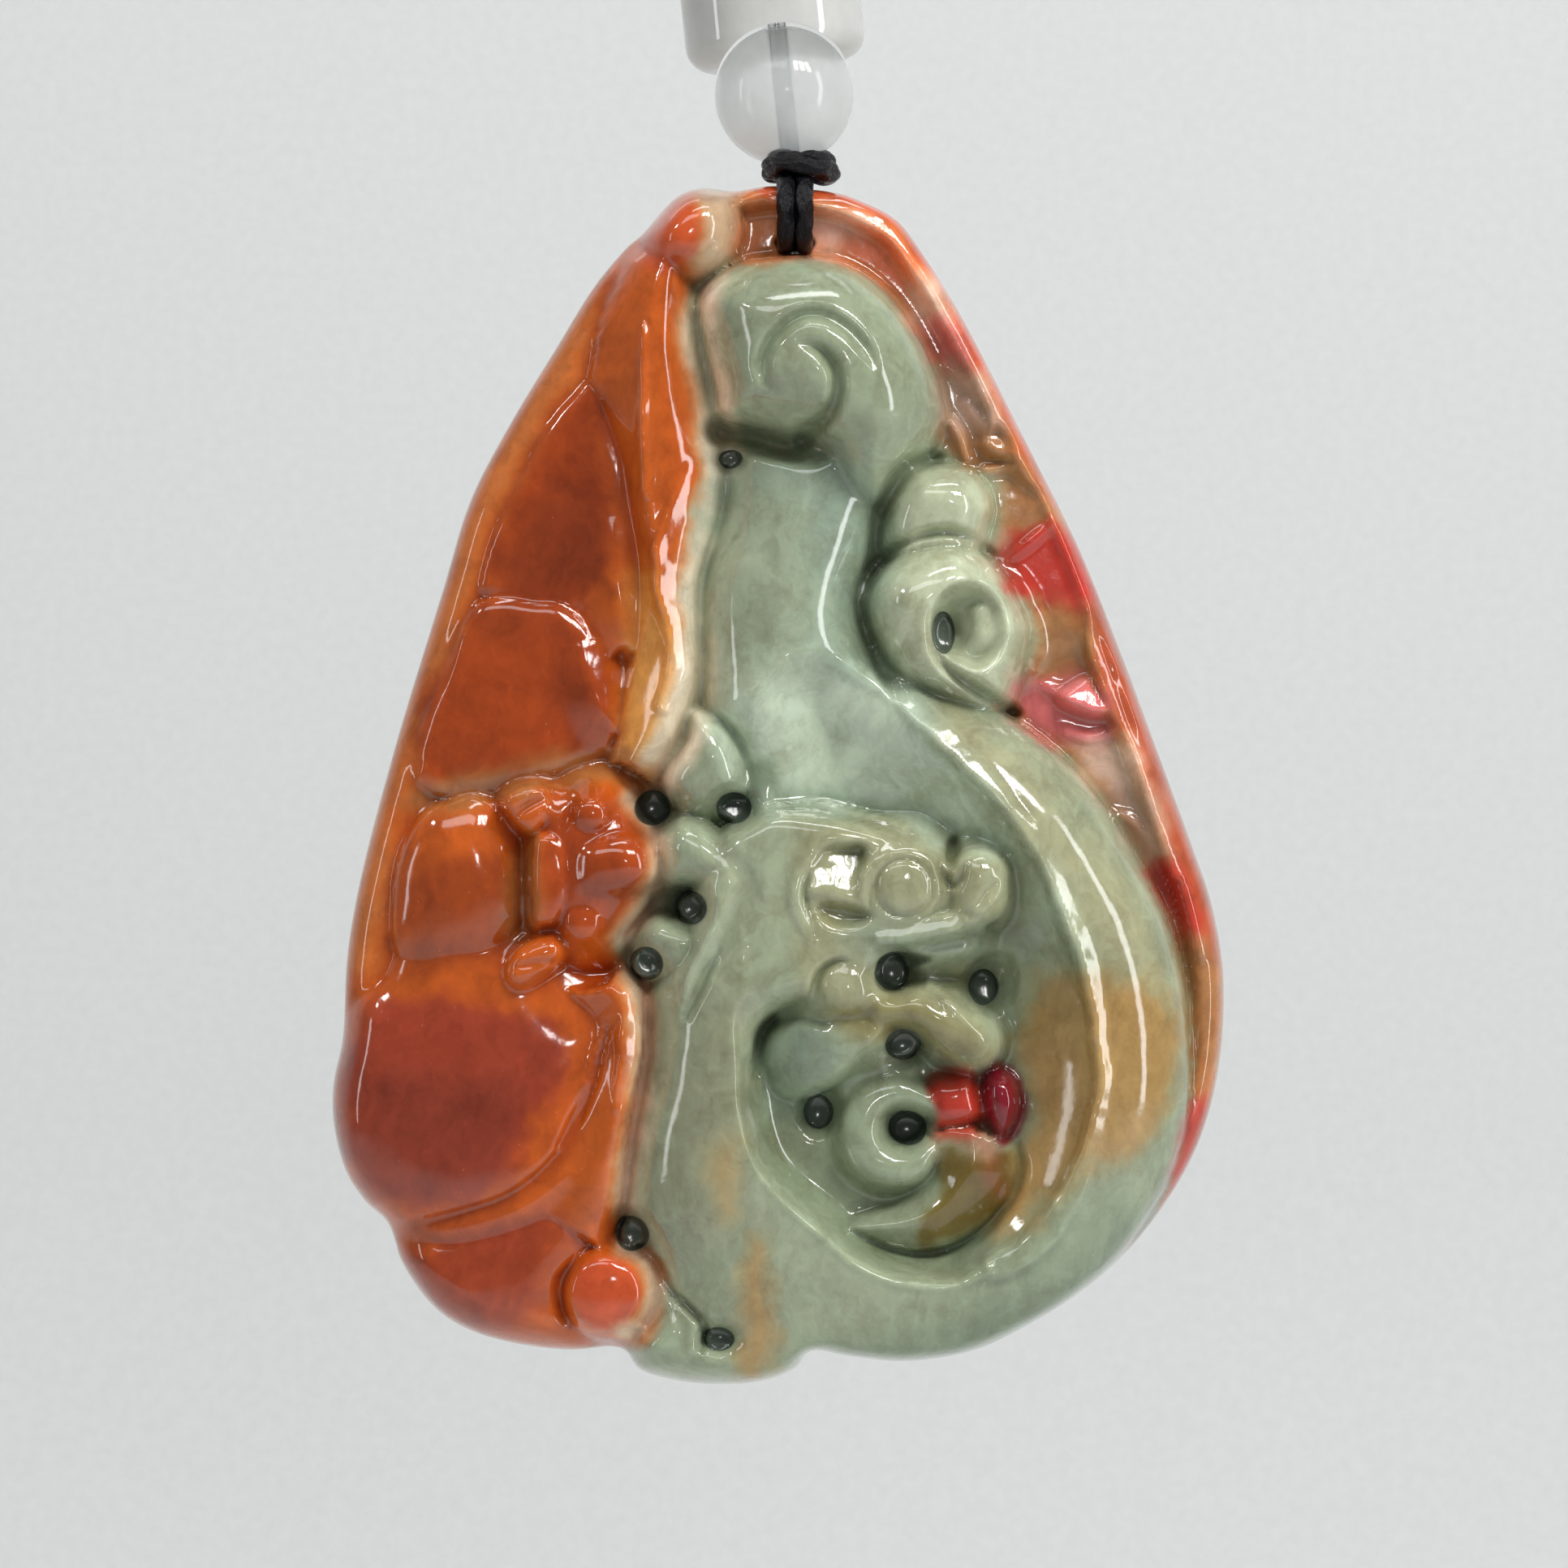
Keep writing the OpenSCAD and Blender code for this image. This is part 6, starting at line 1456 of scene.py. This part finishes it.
def boreMaterial():
    # the drilled wall, ground dull and grey-blue
    material, place = newMaterial("beadBore")
    rings = place.stretched((1, 1, 5.0)).noise(1500.0)
    tone = rings.ramp((0.3, linear("c6ced2")), (0.7, linear("d8dfe2")))
    tone.close(Base_Color=tone, Roughness=0.55 + rings * 0.2, Alpha=0.22)
    return material


makeRoundBead()
makeBarrel()
print("beads made")


# Cord and thread: tubes along smooth paths

cord = {
    "strandRadius": 0.41, "spacing": 0.07, "sides": 28, "merge": 0.012,
    "plaits": 3, "pitch": 1.35, "relief": 0.36,
    "gapHalf": 0.385,
    "routeUp": 0.78,        # where the route's heights begin, in the drawing
    # depth, height, share of the radius, share of the relief
    "strandRoute": [
        (-0.9, 3, 0.9, 1), (-1.45, 2.7, 1, 1), (-1.95, 2.37, 1.04, 1), (-2.5, 2.07, 1.05, 1),
        (-2.95, 1.65, 1.05, 1), (-3.08, 1.1, 1.05, 1), (-3.04, 0.5, 1.02, 1), (-2.84, -0.06, 1, 0.8),
        (-2.3, -0.34, 1, 0.3), (-1.6, -0.3, 1, 0), (-0.8, -0.28, 1, 0), (0.2, -0.28, 1, 0),
        (1.2, -0.28, 1, 0), (2, -0.28, 1, 0.2), (2.6, -0.1, 1, 0.7), (2.95, 0.4, 1, 1), (3, 1, 1, 1),
        (2.85, 1.6, 1, 1), (2.5, 2.1, 1, 1), (2, 2.5, 1, 1), (1.4, 2.75, 0.95, 1), (0.85, 2.85, 0.9, 1)],
}


def framesAlong(path, closed):
    # two square directions along a path, with no more twist than its closing needs
    ahead = np.gradient(path, axis=0)
    if closed:
        ahead[0] = ahead[-1] = path[1] - path[-2]
    ahead /= np.linalg.norm(ahead, axis=1)[:, None]
    side = np.cross(ahead[0], (0.3, 0.2, 1.0) if abs(ahead[0][2]) < 0.9 else (1.0, 0.2, 0.1))
    sides = []
    for direction in ahead:
        side = side - direction * np.dot(side, direction)
        side = side / np.linalg.norm(side)
        sides.append(side)
    sides = np.array(sides)
    if closed:
        missing = math.atan2(np.dot(np.cross(sides[-1], sides[0]), ahead[0]), np.dot(sides[-1], sides[0]))
        twist = np.linspace(0, missing, len(path))[:, None]
        sides = sides * np.cos(twist) + np.cross(ahead, sides) * np.sin(twist)
    return sides, np.cross(ahead, sides)


def tube(bm, rows, settings, reachOf, closed=False):
    # a tube along a smooth path, with reachOf giving the radius from each ring's row, way along and turn
    fine = curve(rows, closed, 16)
    loop = np.vstack([fine, fine[:1]]) if closed else fine
    run = np.concatenate([[0], np.cumsum(np.linalg.norm(np.diff(loop[:, :3], axis=0), axis=1))])
    rings = int(run[-1] / settings["spacing"])
    at = np.linspace(0, run[-1], rings + 1)
    path = np.stack([np.interp(at, run, column) for column in loop.T], 1)
    sideways, upward = framesAlong(path[:, :3], closed)
    made = bmesh.ops.create_grid(bm, x_segments=rings, y_segments=settings["sides"], size=1)["verts"]
    flat = np.array([v.co[:2] for v in made])
    ring = np.rint((flat[:, 0] + 1) / 2 * rings).astype(int)
    turn = (flat[:, 1] + 1) * np.pi
    out = sideways[ring] * np.cos(turn)[:, None] + upward[ring] * np.sin(turn)[:, None]
    places = path[ring, :3] + reachOf(path[ring], at[ring], turn, out, run[-1])[:, None] * out
    for vert, place in zip(made, places):
        vert.co = place
    bmesh.ops.remove_doubles(bm, verts=made, dist=settings["merge"])
    if not closed:
        openEdges = list({e for v in made if v.is_valid for e in v.link_edges if e.is_boundary})
        bmesh.ops.holes_fill(bm, edges=openEdges, sides=0)


def plaitHeight(along, turn, pitch):
    # crossing strands of a round plait, over and under, from 0 to 1
    wave = 2 * np.pi * along / pitch
    one = np.cos(cord["plaits"] * turn + wave)
    other = np.cos(cord["plaits"] * turn - wave)
    over = 0.5 + 0.5 * np.sin(wave + 0.7)
    return np.maximum(one * (0.75 + 0.25 * over), other * (1.0 - 0.25 * over)) * 0.5 + 0.5


def plaitedTube(bm, rows, radius, closed=False):
    # a plaited cord, slightly squarish. Rows: x, y, z, share of the radius, share of the relief
    def reachOf(row, along, turn, out, length):
        share, relief = row[:, 3], row[:, 4]
        pitch = length / round(length / cord["pitch"]) if closed else cord["pitch"]
        squarish = (out[:, 0] ** 4 + (1 - out[:, 0] ** 2) ** 2) ** -0.25
        sunk = 1 - cord["relief"] * relief * (1 - plaitHeight(along, turn, pitch))
        return radius * share * (squarish + (1 - squarish) * relief) * sunk
    tube(bm, rows, cord, reachOf, closed)


def makeStrand(name, node, side):
    bm = bmesh.new()
    across, up = carving["origin"][0] + carving["hole"][0], carving["origin"][2] + cord["routeUp"]
    rows = [(across + side * cord["gapHalf"], depth, up + height, share, relief)
            for depth, height, share, relief in cord["strandRoute"]]
    plaitedTube(bm, rows, cord["strandRadius"])
    toMetres(bm)
    finishPiece(name, bm, [cordMaterial()], "hanger", node)


knot = {
    # turns of the cord round the line: distance down, radius across, radius in depth, thickness, tilt, shift
    # across, shift in depth, phase
    "turns": [
        (20.95, 0.95, 1.50, 0.42, 8.0, 0.35, -0.20, 0.0),
        (21.05, 1.10, 1.40, 0.42, -24.0, 0.34, -0.20, 1.0),
        (21.04, 1.20, 1.50, 0.43, 2.0, 0.15, -0.40, 2.1),
        (21.18, 1.26, 1.45, 0.43, -15.0, 0.24, -0.65, 0.5),
        (21.24, 1.18, 1.42, 0.41, -8.0, 0.25, -0.95, 1.7),
    ],
    "steps": 18, "wave": 0.07, "swelling": 0.08,
    "core": (0.95, 0.55, 21.1), "coreSteps": (40, 20),     # radius, half height, distance down
}


def makeKnot():
    s = knot
    bm = bmesh.new()
    for down, across, depth, thick, tilt, shift, forward, phase in s["turns"]:
        rows = []
        for turn in np.arange(s["steps"]) * 2 * math.pi / s["steps"]:
            x, y = across * math.cos(turn), depth * math.sin(turn) + forward
            z = x * math.tan(math.radians(tilt)) + s["wave"] * math.sin(3 * turn + phase)
            place = onLine(down - z, x + shift + line["knotShift"], y)
            rows.append((*place, 1.0 + s["swelling"] * math.sin(2 * turn + phase), 1.0))
        plaitedTube(bm, rows, thick, closed=True)
    radius, half, down = s["core"]
    sideways, upwards = s["coreSteps"]
    core = bmesh.ops.create_uvsphere(bm, u_segments=sideways, v_segments=upwards, radius=1)["verts"]
    bmesh.ops.scale(bm, verts=core, vec=(radius, radius, half))
    bmesh.ops.translate(bm, verts=core, vec=onLine(down, line["knotShift"]))
    toMetres(bm)
    finishPiece("cordKnot", bm, [cordMaterial()], "hanger", "cord_knot")


def cordMaterial():
    # waxed black cord: fine threads, a little fuzz, wax glints
    known = bpy.data.materials.get("waxedCord")
    if known:
        return known
    material, place = newMaterial("waxedCord")
    threads = place.stretched((2.4, 1.0, 0.6), (0.4, 0.5, 0.2)).noise(5200.0, 3.0, 0.6)
    wax = place.noise(1900.0)
    tone = threads.ramp((0.3, (0.0015, 0.0013, 0.0022)), (0.62, (0.005, 0.0045, 0.007)),
                        (0.8, (0.014, 0.013, 0.018)))
    normal = place.node("Bump", {}, {"Strength": 1.0, "Distance": 0.00013, "Height": threads + wax * 0.6})
    tone.close(Base_Color=tone, Roughness=0.09 + threads * 0.2, Normal=normal, IOR=1.45,
               Specular_IOR_Level=0.3)
    return material


makeStrand("cordStrandLeft", "cord_strand_left", -1)
makeStrand("cordStrandRight", "cord_strand_right", 1)
makeKnot()
print("cord made")


thread = {
    "radius": 0.18, "beside": 0.2, "sides": 16, "spacing": 0.18, "merge": 0.004,
    # heights of the straight part, from the bottom up
    "stops": (20.95, line["beadCentre"], 16.2, 12.0, line["barrelTop"]),
    # share of the loop's half width, share of its height
    "loop": [(0.45, 0.86), (0.86, 0.58), (1.0, 0.32), (0.8, 0.1), (0.42, 0.02)],
    "loopHalf": 1.8, "loopHeight": 8.0,
}


def makeThread():
    s = thread
    bm = bmesh.new()
    right = [(s["beside"], down) for down in s["stops"]]
    right += [(w * s["loopHalf"], h * s["loopHeight"]) for w, h in s["loop"]]
    left = [(-w, h) for w, h in reversed(right)]
    rows = [tuple(onLine(h, w)) for w, h in right + [(0.0, 0.0)] + left]
    tube(bm, rows, s, lambda row, along, turn, out, length: np.full(len(turn), s["radius"]))
    toMetres(bm)
    finishPiece("clearThread", bm, [threadMaterial()], "hanger", "bead_thread")


def threadMaterial():
    # clear nylon
    material, place = newMaterial("clearNylon")
    haze = place.noise(2200.0)
    tone = haze.ramp((0.3, (0.80, 0.84, 0.86)), (0.7, (0.90, 0.92, 0.93)))
    tone.close(Base_Color=tone, Roughness=0.08 + haze * 0.12, IOR=1.5, Transmission_Weight=0.85)
    return material


makeThread()
print("thread made")
